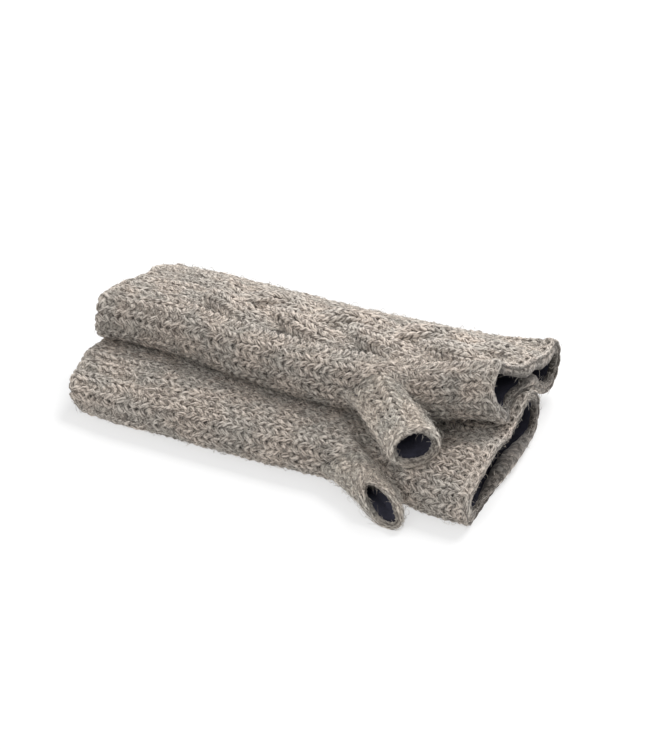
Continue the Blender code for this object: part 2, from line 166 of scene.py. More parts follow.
def lower_top(x, y):
    """Height of the lower one over (x, y): its thickness, rounded off like a circle at both folds."""
    start, end, thick = spine_ends("lower", x)
    level = through_three(np.clip((y - start) / (end - start), 0.0, 1.0), *thick)
    near = np.clip((start - y) / (thick[0] / 2.0), 0.0, 1.0)
    far = np.clip((y - end) / (thick[2] / 2.0), 0.0, 1.0)
    beyond = np.maximum(near, far)
    return np.where(beyond < 1.0, level / 2.0 * (1.0 + np.sqrt(1.0 - beyond * beyond)), 0.0)


def upper_rest(x, y):
    """Height of the upper one's underside: the lower one's top plus a gap, then an S-shaped drop."""
    start, end, thick = spine_ends("lower", x)
    t = (y - start) / (end - start)
    over = np.clip(t - 1.0 + LIMIT_EASE, 0.0, 2.0 * LIMIT_EASE)
    t = np.minimum(t, 1.0 + LIMIT_EASE) - over * over / (4.0 * LIMIT_EASE)
    ribs = RIB_HEIGHT * (1.0 - soft_step((x - CUFF_END) / ROOM_FADE))
    edge = EDGE_BULGE * soft_step((x - LAST["lower"] + EDGE_LENGTH + ROOM_FADE) / ROOM_FADE)
    on_lower = through_three(t, *thick) + ribs + edge + REST_GAP
    foot = column_at("upper", UNDERSIDE, x)
    drop = soft_step((y - end - DROP_START) / DROP_RUN)
    return foot + (on_lower - foot) * (1.0 - drop)


print("lower one's height in the middle, mm:", round(float(lower_top(110.0, 40.0)), 1))

# %% [markdown]
# ## The crease between them
#
# Wool gives way under a weight, so the lower one's top sinks into a trough under the upper one's near fold.
# It is shallow along the cuff and deep beside the thumbs. A hump of a cosine makes a good trough, because it
# starts and ends without an edge.

# %% The crease in the lower one's top
CREASE_DEPTH = 13.5
CUFF_CREASE = 6.0
CREASE_HALF = 22.0
CREASE_FRONT = 38.0
CREASE_START = 130.0
CREASE_RUN = 45.0
CREASE_BACK = 6.0
MOUTH_START = 192.0
MOUTH_RUN = 33.0
MOUTH_SHARE = 0.45
MOUTH_HALF = 26.0


def hump(off):
    """Half a wave of a cosine: 1 at 0, and 0 at 1 and beyond it on both sides."""
    return 0.5 + 0.5 * np.cos(math.pi * np.clip(off, -1.0, 1.0))


def crease_depth(x, y):
    """Depth of the trough under the upper one's near fold, which is a hump across.

    It is shallow from the wrist up to CREASE_START, and beyond it deep and wider in front than behind. At the
    finger mouth it has MOUTH_SHARE of its depth and reaches MOUTH_HALF to each side.
    """
    to_hand = soft_step((x - CREASE_START) / CREASE_RUN)
    to_mouth = soft_step((x - MOUTH_START) / MOUTH_RUN)
    behind = y - column_at("upper", NEAR_FOLD, x) - CREASE_BACK
    before_mouth = CREASE_HALF + (CREASE_FRONT - CREASE_HALF) * to_hand * (behind < 0.0)
    half = before_mouth + (MOUTH_HALF - before_mouth) * to_mouth
    depth = CUFF_CREASE + (CREASE_DEPTH - CUFF_CREASE) * to_hand
    return depth * hump(behind / half) * (1.0 - (1.0 - MOUTH_SHARE) * to_mouth)


print("crease beside the thumbs, mm:", round(float(crease_depth(180.0, 28.0)), 1))

# %% [markdown]
# ## The skin
#
# The skin is the outer face of the cloth, as rings of points. A tube laid flat is neither an ellipse nor a
# box: its folds are half circles, and between them the layers are nearly flat. So each ring goes along the
# spine on top, round the far fold, back underneath and round the near fold. The upper one's ends are cut at
# a slant, because it lies askew on the lower one.

# %% Rings of skin
WRIST_SLANT = 9.0
MOUTH_SLANT = 6.0
SLANT_REACH = 34.0
SLANT_SHARE = 0.6
SPINE_STEPS = 60
TURN_STEPS = 16


def skin_rings(side, x, around):
    """Rings of the tube: spine points plus half the thickness times the outward direction.

    The direction turns round each fold in a half circle. The ring's points are then spaced evenly.
    """
    station = np.asarray(x, float)[:, None]
    start, end, thick = spine_ends(side, station)
    across = np.linspace(0.0, 1.0, SPINE_STEPS + 1)[None, :]
    y = start + (end - start) * across
    rest = np.zeros_like(y) if side == "lower" else upper_rest(station, y)
    lean = np.arctan(np.gradient(rest, axis=1) / np.gradient(y, axis=1))
    half = through_three(across, *thick) / 2.0
    spine_y = y - half * np.sin(lean)
    spine_z = rest + half * np.cos(lean)
    turn = np.linspace(0.0, 1.0, TURN_STEPS + 1)[None, :]
    quarter = math.pi / 2.0
    near_top = math.pi + (lean[:, :1] + quarter - math.pi) * turn
    far_turn = lean[:, -1:] + quarter - math.pi * turn
    near_under = lean[:, :1] - quarter + (-math.pi - lean[:, :1] + quarter) * turn
    angle = np.hstack([near_top, lean + quarter, far_turn, lean[:, ::-1] - quarter, near_under])

    def round_trip(values):
        """Values along the spine, repeated for the way over it, round its far end, back and round."""
        ends = [np.repeat(values[:, at : at + 1], TURN_STEPS + 1, axis=1) for at in (0, len(values[0]) - 1)]
        return np.hstack([ends[0], values, ends[1], values[:, ::-1], ends[0]])

    ring_y = round_trip(spine_y) + round_trip(half) * np.cos(angle)
    ring_z = round_trip(spine_z) + round_trip(half) * np.sin(angle)
    length = np.hypot(np.diff(ring_y, axis=1), np.diff(ring_z, axis=1)).cumsum(axis=1)
    length = np.hstack([np.zeros((len(length), 1)), length])
    share = length / length[:, -1:]
    u = np.arange(around) / around
    ring_y = np.array([np.interp(u, s, v) for s, v in zip(share, ring_y)])
    ring_z = np.array([np.interp(u, s, v) for s, v in zip(share, ring_z)])
    points = np.stack([np.broadcast_to(station, ring_y.shape), ring_y, ring_z], axis=-1)
    if side == "upper":
        back = soft_step((ring_y - start) / (SLANT_SHARE * (end - start)))
        at_wrist = 1.0 - soft_step((station - FIRST[side]) / SLANT_REACH)
        at_mouth = 1.0 - soft_step((LAST[side] - station) / SLANT_REACH)
        points[..., 0] += WRIST_SLANT * back * at_wrist - MOUTH_SLANT * (1.0 - back) * at_mouth
    return points


middle_ring = skin_rings("upper", [110.0], 96)[0]
print("upper one's width and height at x = 110, mm:", np.round(np.ptp(middle_ring, axis=0)[1:], 1).tolist())

# %% [markdown]
# ## A surface to draw on
#
# A stitch is far finer than the skin's grid. `Surface` reads any place between the grid's points and lifts it
# off the cloth by any height, so a yarn can be drawn flat, as on squared paper, and laid on the form
# afterwards. On a hand warmer the place is x along it and u round it: 0 on the near fold, over the top to a
# half on the far fold, and back underneath.

# %% Read any place on a grid
def unit(vectors):
    """Vectors divided by their lengths."""
    return vectors / (np.linalg.norm(vectors, axis=-1, keepdims=True) + 1e-12)


class Surface:
    """A surface given as a grid of points, read at any place and lifted along its normal."""

    def __init__(self, points, outside=None):
        """Normals are the cross product of the grid's two ways, turned away from each ring's middle.

        A grid that doesn't close into rings is given the way `outside`.
        """
        self.points = points
        self.closed = outside is None
        wide = points
        if self.closed:
            outside = points - points.mean(axis=1, keepdims=True)
            wide = np.concatenate([points[:, -1:], points, points[:, :1]], axis=1)
        normals = np.cross(np.gradient(wide, axis=0), np.gradient(wide, axis=1))
        normals = unit(normals[:, 1:-1] if self.closed else normals)
        self.normals = normals if (normals * outside).sum() >= 0.0 else -normals

    def read(self, grid, a, b):
        """A grid between its points: weights along a (0 to 1) and b (0 to 1, round and round if closed)."""
        rows, columns = grid.shape[:2]
        place = a * (rows - 1)
        i = np.clip(np.floor(place).astype(int), 0, rows - 2)
        fa = (place - i)[..., None]
        if self.closed:
            place = np.mod(b, 1.0) * columns
            j = np.floor(place).astype(int) % columns
            fb = (place - np.floor(place))[..., None]
            k = (j + 1) % columns
        else:
            place = b * (columns - 1)
            j = np.clip(np.floor(place).astype(int), 0, columns - 2)
            fb = (place - j)[..., None]
            k = j + 1
        near = grid[i, j] * (1.0 - fb) + grid[i, k] * fb
        far = grid[i + 1, j] * (1.0 - fb) + grid[i + 1, k] * fb
        return near * (1.0 - fa) + far * fa

    def at(self, a, b, lift):
        """The point at (a, b), moved `lift` millimetres along the normal, and the normal there."""
        a, b = np.broadcast_arrays(np.asarray(a, float), np.asarray(b, float))
        normal = self.read(self.normals, np.clip(a, 0.0, 1.0), b)
        normal = normal / np.linalg.norm(normal, axis=-1, keepdims=True)
        return self.read(self.points, a, b) + np.asarray(lift)[..., None] * normal, normal


square = Surface(np.stack([*np.mgrid[0:3, 0:3], np.zeros((3, 3))], axis=-1), np.array([0.0, 0.0, 1.0]))
print("middle of a flat square, lifted by 1:", square.at(0.5, 0.5, 1.0)[0].tolist())

# %% [markdown]
# ## Sags, dents and a round corner
#
# Real cloth is less even than a table of sections. The upper one's near fold sags into the crease. The under
# layers reach further out of the finger mouths than the top layers do. A fold runs beside the lower thumb,
# and the lower one's near wrist corner is round. Each moves the skin's points before anything is drawn on it.

# %% The skins of the two hands
GRID_ALONG = 131
GRID_ROUND = 288
RING_STEPS = 96
FOLD_SAG = 3.5
FOLD_PLACE = 0.945
FOLD_REACH = 0.115
TONGUES = {"lower": (1.5, 0.66, 0.19), "upper": (6.0, 0.93, 0.10)}
DENT_FROM = np.array([156.0, 25.0])
DENT_TO = np.array([186.0, 1.0])
DENT_HALF = 8.5
DENT_DEPTH = 6.6
DENT_EARLY = 0.15
DENT_SHARE = 0.7
WRIST_CORNER = 7.0
CORNER_TOP = 2.0
WRIST_REACH = 13.0
CORNER_REACH = 20.0


def hump_round(u, place, reach):
    """A hump on the ring: 1 at `place`, and 0 beyond `reach` on both sides of it."""
    return hump(np.abs(np.mod(u - place + 0.5, 1.0) - 0.5) / reach)


def thumb_dent(x, arc):
    """Depth of the fold beside the lower thumb: a hump across the line from DENT_FROM to DENT_TO.

    The place is x along the hand and the arc over the top from the near fold. The depth fades at both ends of
    the line like a half sine, of which it has DENT_SHARE from DENT_EARLY on.
    """
    way = DENT_TO - DENT_FROM
    reach = np.hypot(*way)
    along = ((x - DENT_FROM[0]) * way[0] + (arc - DENT_FROM[1]) * way[1]) / reach**2
    across = ((x - DENT_FROM[0]) * way[1] - (arc - DENT_FROM[1]) * way[0]) / reach
    fade = np.sin(math.pi * np.clip(DENT_EARLY + DENT_SHARE * along, 0.0, 1.0))
    return DENT_DEPTH * hump(across / DENT_HALF) * fade


def hand_surface(side):
    """The whole tube of a hand warmer as a Surface: rings moved by sag, tongue, crease, corner and dent."""
    x = np.linspace(FIRST[side], LAST[side], GRID_ALONG)[:, None]
    u = np.arange(GRID_ROUND)[None, :] / GRID_ROUND
    points = skin_rings(side, x[:, 0], GRID_ROUND)
    tongue, place, reach = TONGUES[side]
    tongue = tongue * hump_round(u, place, reach)
    points[..., 0] += tongue * soft_step((x - LAST[side] + CORNER_REACH) / CORNER_REACH)
    if side == "upper":
        points[..., 2] -= FOLD_SAG * hump_round(u, FOLD_PLACE, FOLD_REACH)
        return Surface(points)
    top = points[..., 2] > column_at("lower", NEAR_THICK, x) * 0.5
    points[..., 2] -= crease_depth(points[..., 0], points[..., 1]) * top
    corner = 1.0 - soft_step((points[..., 1] - column_at("lower", NEAR_FOLD, x)) / WRIST_REACH)
    corner = corner * (CORNER_TOP + WRIST_CORNER * (1.0 - soft_step(points[..., 2] / WRIST_REACH)))
    points[..., 0] += corner * (1.0 - soft_step((x - FIRST[side]) / SLANT_REACH))
    ring = np.linalg.norm(np.diff(points, axis=1), axis=-1).sum(axis=1, keepdims=True)
    return Surface(points - thumb_dent(x, u * ring)[..., None] * Surface(points).normals)


def share_along(side, x):
    """Place along a hand warmer as a share of its length: (x - first) / (last - first)."""
    return (x - FIRST[side]) / (LAST[side] - FIRST[side])


def on_hand(side, x, u, lift):
    """The point and the normal of a hand warmer's skin at x and u, lifted by `lift`."""
    return HANDS[side].at(share_along(side, x), u, lift)


def girth(side, x):
    """Length of the skin's ring at x, in millimetres."""
    ring, _ = on_hand(side, np.atleast_1d(x)[:, None], np.arange(RING_STEPS)[None, :] / RING_STEPS, 0.0)
    return np.linalg.norm(ring - np.roll(ring, 1, axis=1), axis=-1).sum(axis=1)


HANDS = {side: hand_surface(side) for side in SECTIONS}
print("girth at x = 110, mm:", {side: round(float(girth(side, 110.0)[0]), 1) for side in SECTIONS})

# %% [markdown]
# ## The thumbs
#
# A thumb grows out of a slot in the near fold. Its rings run from the slot's edge to the mouth along smooth
# curves (Hermite curves: two ends and two tangents). The lower thumb lies on the surface, and the upper one
# lies on the lower hand warmer.

# %% Thumb skins
THUMBS = {
    "lower": {
        "slot": (143.0, 176.0, 10.5),
        "mouth": (181.2, -30.7, 9.6),
        "up": (-10.8, 6.0, 7.9),
        "across": (7.4, 2.4, 3.6),
        "lead_out": (24.0, -22.0, 0.0),
        "lead_in": (20.0, -30.0, -4.0),
    },
    "upper": {
        "slot": (143.0, 176.0, 11.0),
        "mouth": (189.5, -6.0, 31.8),
        "up": (-2.4, 2.4, 9.1),
        "across": (10.5, 8.2, 0.9),
        "lead_out": (24.0, -20.0, 0.0),
        "lead_in": (26.0, -24.0, -6.0),
    },
}
SLOT_SHARPNESS = 1.3
SLOT_REACH = 0.16
THUMB_GAP = 0.6
THUMB_RINGS = 49
ROOT_OVERLAP = 2.0


def slot_half(side, x):
    """Half the slot's height as a share of the girth: a power of a half sine wave along the slot."""
    first, last, height = THUMBS[side]["slot"]
    wave = np.sin(math.pi * np.clip((x - first) / (last - first), 0.0, 1.0))
    return height / girth(side, (first + last) / 2.0)[0] * np.clip(wave, 0.0, 1.0) ** SLOT_SHARPNESS


def open_slot(side, x, u):
    """Pushes u away from the near fold by the slot's half height, less and less up to SLOT_REACH away."""
    half = slot_half(side, x)
    u = np.asarray(u, float)
    over = half * np.clip(1.0 - u / SLOT_REACH, 0.0, 1.0) * (u >= 0.0)
    under = half * np.clip(1.0 - (1.0 - u) / SLOT_REACH, 0.0, 1.0) * (u <= 1.0)
    return u + np.where(u < 0.5, over, -under)


def thumb_surface(side):
    """Rings between the slot and the mouth. The first lies on the hand's stitches just outside the slot."""
    thumb = THUMBS[side]
    first, last, _ = thumb["slot"]
    around = TURN * np.arange(RING_STEPS) / RING_STEPS
    x = 0.5 * (first + last) - (0.5 * (last - first) + ROOT_OVERLAP) * np.cos(around)
    beyond = ROOT_OVERLAP * np.sin(around) / girth(side, 0.5 * (first + last))
    u = np.sign(np.sin(around)) * slot_half(side, x) + beyond
    root, _ = on_hand(side, x, u, 0.0)
    up, across = [np.array(thumb[name]) for name in ("up", "across")]
    rim = np.array(thumb["mouth"]) - np.cos(around)[:, None] * across + np.sin(around)[:, None] * up
    t = np.linspace(0.0, 1.0, THUMB_RINGS)[:, None, None]
    rings = (2 * t**3 - 3 * t**2 + 1) * root + (t**3 - 2 * t**2 + t) * np.array(thumb["lead_out"])
    rings += (3 * t**2 - 2 * t**3) * rim + (t**3 - t**2) * np.array(thumb["lead_in"])
    floor = lower_top(rings[..., 0], rings[..., 1]) + THUMB_GAP if side == "upper" else 0.0
    rings[..., 2] = np.maximum(rings[..., 2], floor)
    return Surface(rings)


def thumb_length(side):
    """Length of the line through the middles of a thumb's rings, in millimetres."""
    middles = THUMB_SKINS[side].points.mean(axis=1)
    return float(np.linalg.norm(np.diff(middles, axis=0), axis=1).sum())


THUMB_SKINS = {side: thumb_surface(side) for side in THUMBS}
print("lengths of the thumbs, mm:", {side: round(thumb_length(side), 1) for side in THUMBS})

# %% [markdown]
# ## Putting arrays into a mesh
#
# Every piece is worked out as whole arrays of points and four-cornered faces. `add_mesh` hands them to
# Blender in one go, which is far quicker than adding faces one by one. Points are lifted here where they
# would sink into the table or into the lower hand warmer.

# %% One mesh from arrays
TABLE_GAP = 0.05
PILE_GAP = 0.35


def settle(side, points):
    """Keeps points above what the piece lies on: the table, or the lower hand warmer."""
    floor = np.full(points.shape[:-1], TABLE_GAP)
    if side == "upper":
        x, y = points[..., 0], points[..., 1]
        floor = np.maximum(floor, lower_top(x, y) - crease_depth(x, y) + PILE_GAP)
    points[..., 2] = np.maximum(points[..., 2], floor)
    return points


def add_mesh(name, points, quads, maps, finish, triangles=()):
    """A smooth piece from points in millimetres, its faces and named UV maps, riding on the model's root."""
    mesh = bpy.data.meshes.new(name)
    mesh.vertices.add(len(points))
    mesh.vertices.foreach_set("co", ((points + PAIR_SHIFT) * MM).astype(np.float32).ravel())
    triangles = np.asarray(triangles, int).reshape(-1, 3)
    corners = np.concatenate([quads.ravel(), triangles.ravel()])
    sizes = np.repeat([4, 3], [len(quads), len(triangles)])
    mesh.loops.add(len(corners))
    mesh.loops.foreach_set("vertex_index", corners.astype(np.int32))
    mesh.polygons.add(len(sizes))
    mesh.polygons.foreach_set("loop_start", (np.cumsum(sizes) - sizes).astype(np.int32))
    for map_name, uv in maps.items():
        mesh.uv_layers.new(name=map_name).uv.foreach_set("vector", uv.astype(np.float32).ravel())
    mesh.update(calc_edges=True)
    mesh.shade_smooth()
    mesh.materials.append(finish)
    piece = bpy.data.objects.new(name, mesh)
    bpy.context.scene.collection.objects.link(piece)
    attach(piece, "root")
    return piece


print("least gaps to the table and to the lower one, mm:", TABLE_GAP, PILE_GAP)

# %% [markdown]
# ## Yarn
#
# A yarn is a tube along a curve. All the rows of a piece are swept at once: the array holds rows, points
# along each row, and places round the tube. Two UV maps come with it. `yarn` runs in millimetres along and
# round the yarn, so the wool's fibres can follow it. `OFBake` gives each row a strip of its own.

# %% Sweep many yarns at once
YARN = 1.48
YARN_ROUND = TURN * YARN
STREAK_SHIFT = 37.0
STRIP_FILL = 0.9


def sweep(paths, normals, radius, sides, closed=False):
    """Tubes with the radius round paths[row, point]: path + radius * (cos * lift + sin * side).

    Side is the tangent's cross product with the cloth's normal, and lift is at right angles to both. The
    first place round the tube is at its back, where the UV map's seam doesn't show. An open tube gets a flat
    cap at each end. STREAK_SHIFT keeps a row's streaks from lining up with those of the row before.
    """
    rows, count = paths.shape[:2]
    ahead = np.roll(paths, -1, axis=1)
    behind = np.roll(paths, 1, axis=1)
    if not closed:
        ahead[:, -1] = paths[:, -1]
        behind[:, 0] = paths[:, 0]
    tangent = unit(ahead - behind)
    side_way = unit(np.cross(tangent, normals))
    lift = np.cross(side_way, tangent)
    turn = math.pi + TURN * np.arange(sides) / sides
    ring = np.cos(turn)[:, None] * lift[:, :, None] + np.sin(turn)[:, None] * side_way[:, :, None]
    radius = np.broadcast_to(radius, (rows, count))[:, :, None, None]
    points = paths[:, :, None] + radius * ring
    ids = np.arange(rows * count * sides).reshape(rows, count, sides)
    steps = count if closed else count - 1
    k = np.arange(steps)
    here = ids[:, k]
    there = ids[:, (k + 1) % count]
    quads = np.stack([here, np.roll(here, -1, 2), np.roll(there, -1, 2), there], axis=-1).reshape(-1, 4)
    length = np.linalg.norm(np.diff(paths, axis=1, append=paths[:, :1]), axis=-1).cumsum(axis=1)
    length = np.hstack([np.zeros((rows, 1)), length])
    row, step, place = np.meshgrid(np.arange(rows), k, np.arange(sides), indexing="ij")
    start = length[row, step] + STREAK_SHIFT * row
    end = length[row, step + 1] + STREAK_SHIFT * row
    low = place / sides
    high = (place + 1) / sides
    yarn = np.stack([start, low, start, high, end, high, end, low], axis=-1).reshape(-1, 4, 2)
    yarn[..., 1] *= YARN_ROUND
    bake = np.stack([step, low, step, high, step + 1, high, step + 1, low], axis=-1).reshape(-1, 4, 2)
    bake = bake * np.array([1.0 / steps, STRIP_FILL])
    bake[..., 1] += row.reshape(-1, 1)
    if not closed:
        fan = np.array([(0, i, i + 1, i + 2) for i in range(1, sides - 2, 2)])
        starts = ids[:, 0][:, fan[:, ::-1]].reshape(-1, 4)
        ends = ids[:, -1][:, fan].reshape(-1, 4)
        quads = np.vstack([quads, starts, ends])
        for caps, at in ((starts, 0.0), (ends, 1.0)):
            yarn = np.vstack([yarn, np.zeros((len(caps), 4, 2))])
            strip = np.repeat(np.arange(rows), len(fan))[:, None]
            flat = np.stack([np.full(caps.shape, at), strip + np.linspace(0.1, 0.8, 4)], axis=-1)
            bake = np.vstack([bake, flat])
    return {"points": points.reshape(-1, 3), "quads": quads, "yarn": yarn, "bake": bake, "rows": rows}


def add_yarn(name, side, sweeps, finish, nodes):
    """Joins swept yarns into one piece that stands for the named solids."""
    offset = 0
    rows = 0
    quads, bake = [], []
    for part in sweeps:
        quads.append(part["quads"] + offset)
        bake.append(part["bake"] + np.array([0.0, rows]))
        offset += len(part["points"])
        rows += part["rows"]
    points = settle(side, np.vstack([part["points"] for part in sweeps]))
    bake = np.vstack(bake) / np.array([1.0, rows])
    yarn = np.vstack([part["yarn"] for part in sweeps])
    piece = add_mesh(name, points, np.vstack(quads), {"yarn": yarn, "OFBake": bake}, finish)
    if nodes:
        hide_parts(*nodes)
    print(name, "triangles:", 2 * len(piece.data.polygons))
    return piece


print("girth of the yarn, mm:", round(YARN_ROUND, 1))

# %% [markdown]
# ## Heathered wool
#
# Heather is spun from fibres dyed in several shades, so the colour changes from fibre to fibre and not from
# stitch to stitch. Long thin streaks along the yarn give the fibres, wound a little round it as the spinner
# twists them. Pale and dark flecks are the same streaks cut off at a threshold, and the streaks also make the
# bump. Every wool here has them, so they are a node group, built once. A small class adds and links nodes.

# %% The heather as a node group
class Tree:
    """Adds nodes to a node tree and links what they are given."""

    def __init__(self, tree):
        """Keeps the tree and empties it."""
        self.tree = tree
        tree.nodes.clear()

    def add(self, kind, values=None, **settings):
        """A node of a kind with settings, and values or links for its inputs by name or number."""
        node = self.tree.nodes.new(kind)
        for key, value in settings.items():
            setattr(node, key, value)
        for key, value in (values or {}).items():
            socket = node.inputs[key]
            if isinstance(value, bpy.types.NodeSocket):
                self.tree.links.new(value, socket)
            else:
                socket.default_value = value
        return node

    def math(self, operation, first, second=0.0):
        """The result of one sum."""
        return self.add("ShaderNodeMath", {0: first, 1: second}, operation=operation).outputs[0]

    def ramp(self, value, low, high):
        """0 below low, 1 above high and an S between."""
        values = {"Value": value, "From Min": low, "From Max": high}
        node = self.add("ShaderNodeMapRange", values, interpolation_type="SMOOTHSTEP")
        return node.outputs["Result"]

    def blend(self, factor, first, second, kind="MIX"):
        """A colour between two colours, or with MULTIPLY their product."""
        values = {"Factor": factor, "A": first, "B": second}
        return self.add("ShaderNodeMix", values, data_type="RGBA", blend_type=kind).outputs[2]

    def noise(self, place, scale, detail):
        """Even noise in space, from 0 to 1."""
        values = {"Vector": place, "Scale": scale, "Detail": detail}
        return self.add("ShaderNodeTexNoise", values).outputs["Fac"]


WOOL_INPUTS = {"Middle": "Color", "Pale": "Color", "Dark": "Color", "Contrast": "Float", "Flank": "Float"}
# Streaks: scale along and across the yarn in parts of a millimetre, shift, and detail
FIBRES = (0.30, 0.9, 0.0, 2.0)
PALE_FLECKS = (0.40, 0.8, 17.3, 1.0)
DARK_FLECKS = (0.36, 0.9, 41.9, 1.0)
FIBRE_EDGE = (0.36, 0.64)
FLECK_EDGE = (0.56, 0.66)
FLECK_SHARE = 0.85
WINDING = -0.55
PATCH_SCALE = 70.0
COOL_PATCH = (0.93, 0.955, 0.965, 1.0)
WARM_PATCH = (1.06, 1.03, 1.01, 1.0)
FLANK_FROM = 0.12
FLANK_FULL = 0.32


def wool_group():
    """The heather: fibres between the dark and the pale tone, flecks, painted shade on the flanks, and a
    height for the bump.

    Contrast is how far the fibres leave the middle tone. The flank input is painted shade: how much darker
    the yarn is painted at its sides, where it turns down into the cloth, from FLANK_FROM of its girth away
    from the crest to FLANK_FULL.
    """
    group = bpy.data.node_groups.new("heathered_wool", "ShaderNodeTree")
    for name, kind in WOOL_INPUTS.items():
        group.interface.new_socket(name, in_out="INPUT", socket_type=f"NodeSocket{kind}")
    group.interface.new_socket("Color", in_out="OUTPUT", socket_type="NodeSocketColor")
    group.interface.new_socket("Height", in_out="OUTPUT", socket_type="NodeSocketFloat")
    tree = Tree(group)
    given = tree.add("NodeGroupInput").outputs
    where = tree.add("ShaderNodeUVMap", uv_map="yarn").outputs["UV"]
    along, around, _ = tree.add("ShaderNodeSeparateXYZ", {0: where}).outputs
    twisted = tree.math("ADD", along, tree.math("MULTIPLY", around, WINDING))
    wound = tree.add("ShaderNodeCombineXYZ", {"X": twisted, "Y": around}).outputs[0]

    def streaks(along_it, across_it, shift, detail):
        """Noise stretched along the yarn."""
        values = {0: wound, 1: (along_it, across_it, 1.0), 2: (shift, shift, shift)}
        place = tree.add("ShaderNodeVectorMath", values, operation="MULTIPLY_ADD").outputs[0]
        values = {"Vector": place, "Scale": 1.0, "Detail": detail, "Roughness": 0.6}
        return tree.add("ShaderNodeTexNoise", values, noise_dimensions="2D").outputs["Fac"]

    fibres, pale, dark = [streaks(*kind) for kind in (FIBRES, PALE_FLECKS, DARK_FLECKS)]
    tone = tree.blend(tree.ramp(fibres, *FIBRE_EDGE), given["Dark"], given["Pale"])
    tone = tree.blend(given["Contrast"], given["Middle"], tone)
    for flecks, shade in ((pale, "Pale"), (dark, "Dark")):
        share = tree.math("MULTIPLY", tree.ramp(flecks, *FLECK_EDGE), FLECK_SHARE)
        tone = tree.blend(share, tone, given[shade])
    cloud = tree.noise(tree.add("ShaderNodeTexCoord").outputs["Object"], PATCH_SCALE, 2.0)
    tone = tree.blend(1.0, tone, tree.blend(tree.ramp(cloud, 0.35, 0.65), COOL_PATCH, WARM_PATCH), "MULTIPLY")
    # Painted shade: the yarn is darkened towards its flanks, where it turns down into the cloth and little
    # light gets in.
    from_crest = tree.math("ABSOLUTE", tree.math("SUBTRACT", around, 0.5 * YARN_ROUND))
    flank_shade = tree.ramp(from_crest, FLANK_FROM * YARN_ROUND, FLANK_FULL * YARN_ROUND)
    lit = tree.math("SUBTRACT", 1.0, tree.math("MULTIPLY", flank_shade, given["Flank"]))
    tone = tree.add("ShaderNodeVectorMath", {0: tone, "Scale": lit}, operation="SCALE").outputs[0]
    height = tree.math("ADD", fibres, tree.math("MULTIPLY", pale, 0.5))
    tree.add("NodeGroupOutput", {"Color": tone, "Height": height})
    return group


WOOL = wool_group()
print("nodes in the heather:", len(WOOL.nodes))

# %% [markdown]
# ## Four wools and a fleece
#
# The group gives every wool its streaks, and each material brings its own tones. The thumbs are rubbed pale.
# The loose hairs are painted paler than the yarn, a painted highlight for the light they catch, and the
# backing behind the stitches is painted dark, a painted shade for the little light that gets in there. Fleece
# has no yarn, so it takes a fine even nap. Sheen stands for fibres that are too short to be modelled.

# %% Wools and fleece
WOOLS = {
    # middle, pale and dark tone, contrast, painted shade on the flanks (how much darker), height of the bump
    # in metres
    "heather_wool": ((0.330, 0.287, 0.246), (0.62, 0.555, 0.49), (0.105, 0.088, 0.076), 0.85, 0.74, 0.0008),
    "felted_wool": ((0.430, 0.383, 0.334), (0.74, 0.675, 0.59), (0.150, 0.129, 0.112), 0.75, 0.60, 0.0007),
    # painted shade: the backing is painted dark for the little light that gets in between the stitches
    "wool_backing": ((0.075, 0.065, 0.056), (0.140, 0.124, 0.108), (0.032, 0.027, 0.024), 0.8, 0.0, 0.0006),
    # painted highlight: the loose hairs are painted paler than the yarn for the light they catch
    "loose_hairs": ((0.440, 0.392, 0.345), (0.80, 0.74, 0.66), (0.120, 0.102, 0.090), 0.95, 0.0, 0.0001),
}
WOOL_SHEEN = (0.9, 0.85, 0.8, 1.0)
FLEECE_DEEP = (0.010, 0.010, 0.014, 1.0)
FLEECE_LIT = (0.030, 0.030, 0.046, 1.0)
FLEECE_SHEEN = (0.35, 0.35, 0.5, 1.0)
FLEECE_NAP = 0.0006
NAP_SCALE = 1400.0
FLEECE_PATCHES = 160.0


def cloth_material(name, roughness, sheen, sheen_colour):
    """A new material: its tree and its Principled BSDF with the constant values on its own sockets."""
    material = bpy.data.materials.new(name)
    material.use_nodes = True
    tree = Tree(material.node_tree)
    shader = tree.add("ShaderNodeBsdfPrincipled", {"Roughness": roughness, "Specular IOR Level": 0.25})
    shader.inputs["Sheen Weight"].default_value = sheen
    shader.inputs["Sheen Roughness"].default_value = 0.6
    shader.inputs["Sheen Tint"].default_value = sheen_colour
    tree.add("ShaderNodeOutputMaterial", {"Surface": shader.outputs[0]})
    return material, tree, shader


def link_cloth(tree, shader, colour, height, strength, distance):
    """Feeds a colour, and a height through a bump `distance` metres deep, to the shader."""
    lifted = tree.add("ShaderNodeBump", {"Height": height, "Strength": strength, "Distance": distance})
    tree.tree.links.new(colour, shader.inputs["Base Color"])
    tree.tree.links.new(lifted.outputs[0], shader.inputs["Normal"])


def wool_material(name, middle, pale, dark, contrast, flank_shade, bump):
    """Heathered wool in its own tones, with painted shade of the flank amount where it turns into the cloth.
    """
    material, tree, shader = cloth_material(name, 0.95, 0.35, WOOL_SHEEN)
    wool = tree.add("ShaderNodeGroup", node_tree=WOOL)
    values = [(*middle, 1.0), (*pale, 1.0), (*dark, 1.0), contrast, flank_shade]
    for key, value in zip(WOOL_INPUTS, values):
        wool.inputs[key].default_value = value
    link_cloth(tree, shader, wool.outputs["Color"], wool.outputs["Height"], 0.8, bump)
    return material


